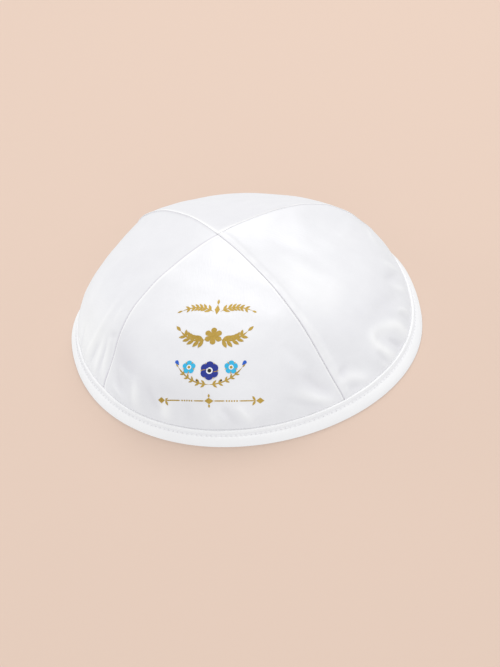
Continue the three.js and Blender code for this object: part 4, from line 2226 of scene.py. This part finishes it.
@dataclass(frozen=True)
class PhotoView:
    """The camera at the photograph's viewing angle."""

    azimuth: float = 15.55  # degrees round from the front
    elevation: float = 38.88
    roll: float = 8.135
    distance: float = 900.0  # from the middle of the rim, in millimetres
    lens: float = 100.0
    aim_right: float = 1.07  # the middle of the picture, beside the middle of the rim
    aim_up: float = -2.97

    def build(self) -> None:
        """Makes the camera and gives it to the scene."""
        azimuth, elevation, roll = (
            math.radians(angle) for angle in (self.azimuth, self.elevation, self.roll)
        )
        back = Vector(
            (
                math.sin(azimuth) * math.cos(elevation),
                -math.cos(azimuth) * math.cos(elevation),
                math.sin(elevation),
            )
        )
        level = Vector((math.cos(azimuth), math.sin(azimuth), 0))
        upright = back.cross(level)
        right = level * math.cos(roll) - upright * math.sin(roll)
        up = level * math.sin(roll) + upright * math.cos(roll)
        middle = Vector((FORM.centre_x, FORM.centre_y, 0))
        place = middle + back * self.distance + right * self.aim_right + up * self.aim_up
        data = bpy.data.cameras.new("photo_view")
        data.lens = self.lens
        data.sensor_width = 36
        data.clip_start = 0.05
        data.clip_end = 20
        camera = linked("photo_view", data)
        turned = Matrix((right, up, back)).transposed().to_4x4()
        camera.matrix_world = Matrix.Translation(place * METRES) @ turned
        bpy.context.scene.camera = camera


@dataclass(frozen=True)
class Lamp:
    """A square soft light."""

    name: str
    power: float  # watts
    side: float  # metres
    place: tuple  # metres
    mirrored: bool = True  # whether it shows in glossy cloth

    def build(self) -> None:
        """Hangs the lamp so that it faces the cap."""
        data = bpy.data.lights.new(self.name, "AREA")
        data.energy = self.power
        data.size = self.side
        lamp = linked(self.name, data)
        lamp.location = self.place
        lamp.visible_glossy = self.mirrored
        towards = Vector((0, 0, 0.03)) - Vector(self.place)
        lamp.rotation_euler = towards.to_track_quat("-Z", "Y").to_euler()


@dataclass(frozen=True)
class Studio:
    """A plain pale floor and soft studio light, brightest from behind and above."""

    floor_colour: str = "#e1c9b9"
    air_colour: str = "#ffffff"
    air: float = 0.785
    lamps: tuple = (
        Lamp("overhead", 3.4, 0.8, (0.06, 0.45, 0.95)),
        Lamp("front", 3.2, 1.2, (0.3, -1.5, 0.6)),
        Lamp("right", 0.8, 1.0, (1.4, 0.2, 0.5)),
        Lamp("left", 3.4, 0.8, (-1.4, 0.25, 0.18), False),
    )

    def build(self) -> None:
        """Makes the floor, the lights and the air's own light."""
        mesh = bpy.data.meshes.new("floor")
        reach = 3.0
        corners = [(-reach, -reach), (reach, -reach), (reach, reach), (-reach, reach)]
        mesh.from_pydata([(x, y, -0.0001) for x, y in corners], [], [(0, 1, 2, 3)])
        floor = linked("floor", mesh)
        mesh.materials.append(self.floor_material())
        # The floor throws none of its own colour up at the white cloth.
        floor.visible_diffuse = False
        floor.visible_glossy = False
        floor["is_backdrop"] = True
        for lamp in self.lamps:
            lamp.build()
        world = bpy.data.worlds.new("studio_air")
        world.use_nodes = True
        background = world.node_tree.nodes["Background"]
        background.inputs["Color"].default_value = linear(self.air_colour)
        background.inputs["Strength"].default_value = self.air
        bpy.context.scene.world = world
        bpy.context.scene.view_settings.view_transform = "Standard"

    def floor_material(self) -> bpy.types.Material:
        """Gives the floor a matt pale finish.

        Returns:
            The material.
        """
        values = {
            "Base Color": linear(self.floor_colour),
            "Roughness": 0.9,
            "Specular IOR Level": 0.1,
        }
        return new_shader("matt_paper", values)[0]


def report(piece: bpy.types.Object, closed: bool = True) -> None:
    """Logs a piece's size, and its volume where it is closed.

    Args:
        piece: The piece's object.
        closed: True where the mesh is closed.
    """
    faces = sum(len(face.vertices) - 2 for face in piece.data.polygons)
    volume = solid_volume(piece.data) if closed else 0.0
    log.info("%s: %d triangles, %.0f mm3", piece.name, faces, volume)


def corners_of_bounds() -> list[list[float]]:
    """Gives the lowest and highest corners of what is shown, as plain lists."""
    return [[float(number) for number in corner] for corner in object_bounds()]


def main(cad: list[list[float]]) -> None:
    """Builds the camera, the studio and the cap.

    Args:
        cad: The corners of the CAD model's box. Not used.
    """
    PhotoView().build()
    Studio().build()
    satin = PANEL_SATIN.material()
    lining = LINING.material()
    thread = SEWING_THREAD.material()
    names = {"panel_front": -90, "panel_right": 0, "panel_back": 90, "panel_left": 180}
    for name, facing in names.items():
        report(SatinPanel(name, facing, satin, lining).build())
    binding = FoldedBinding(BINDING_SATIN.material())
    report(binding.build())
    for row in Sewing(binding, thread).build():
        report(row)
    for mark in PanelPrint().build():
        report(mark, closed=False)


if __name__ == "__main__":
    logging.basicConfig(level=logging.INFO, format="%(name)s: %(message)s")
    main(corners_of_bounds())
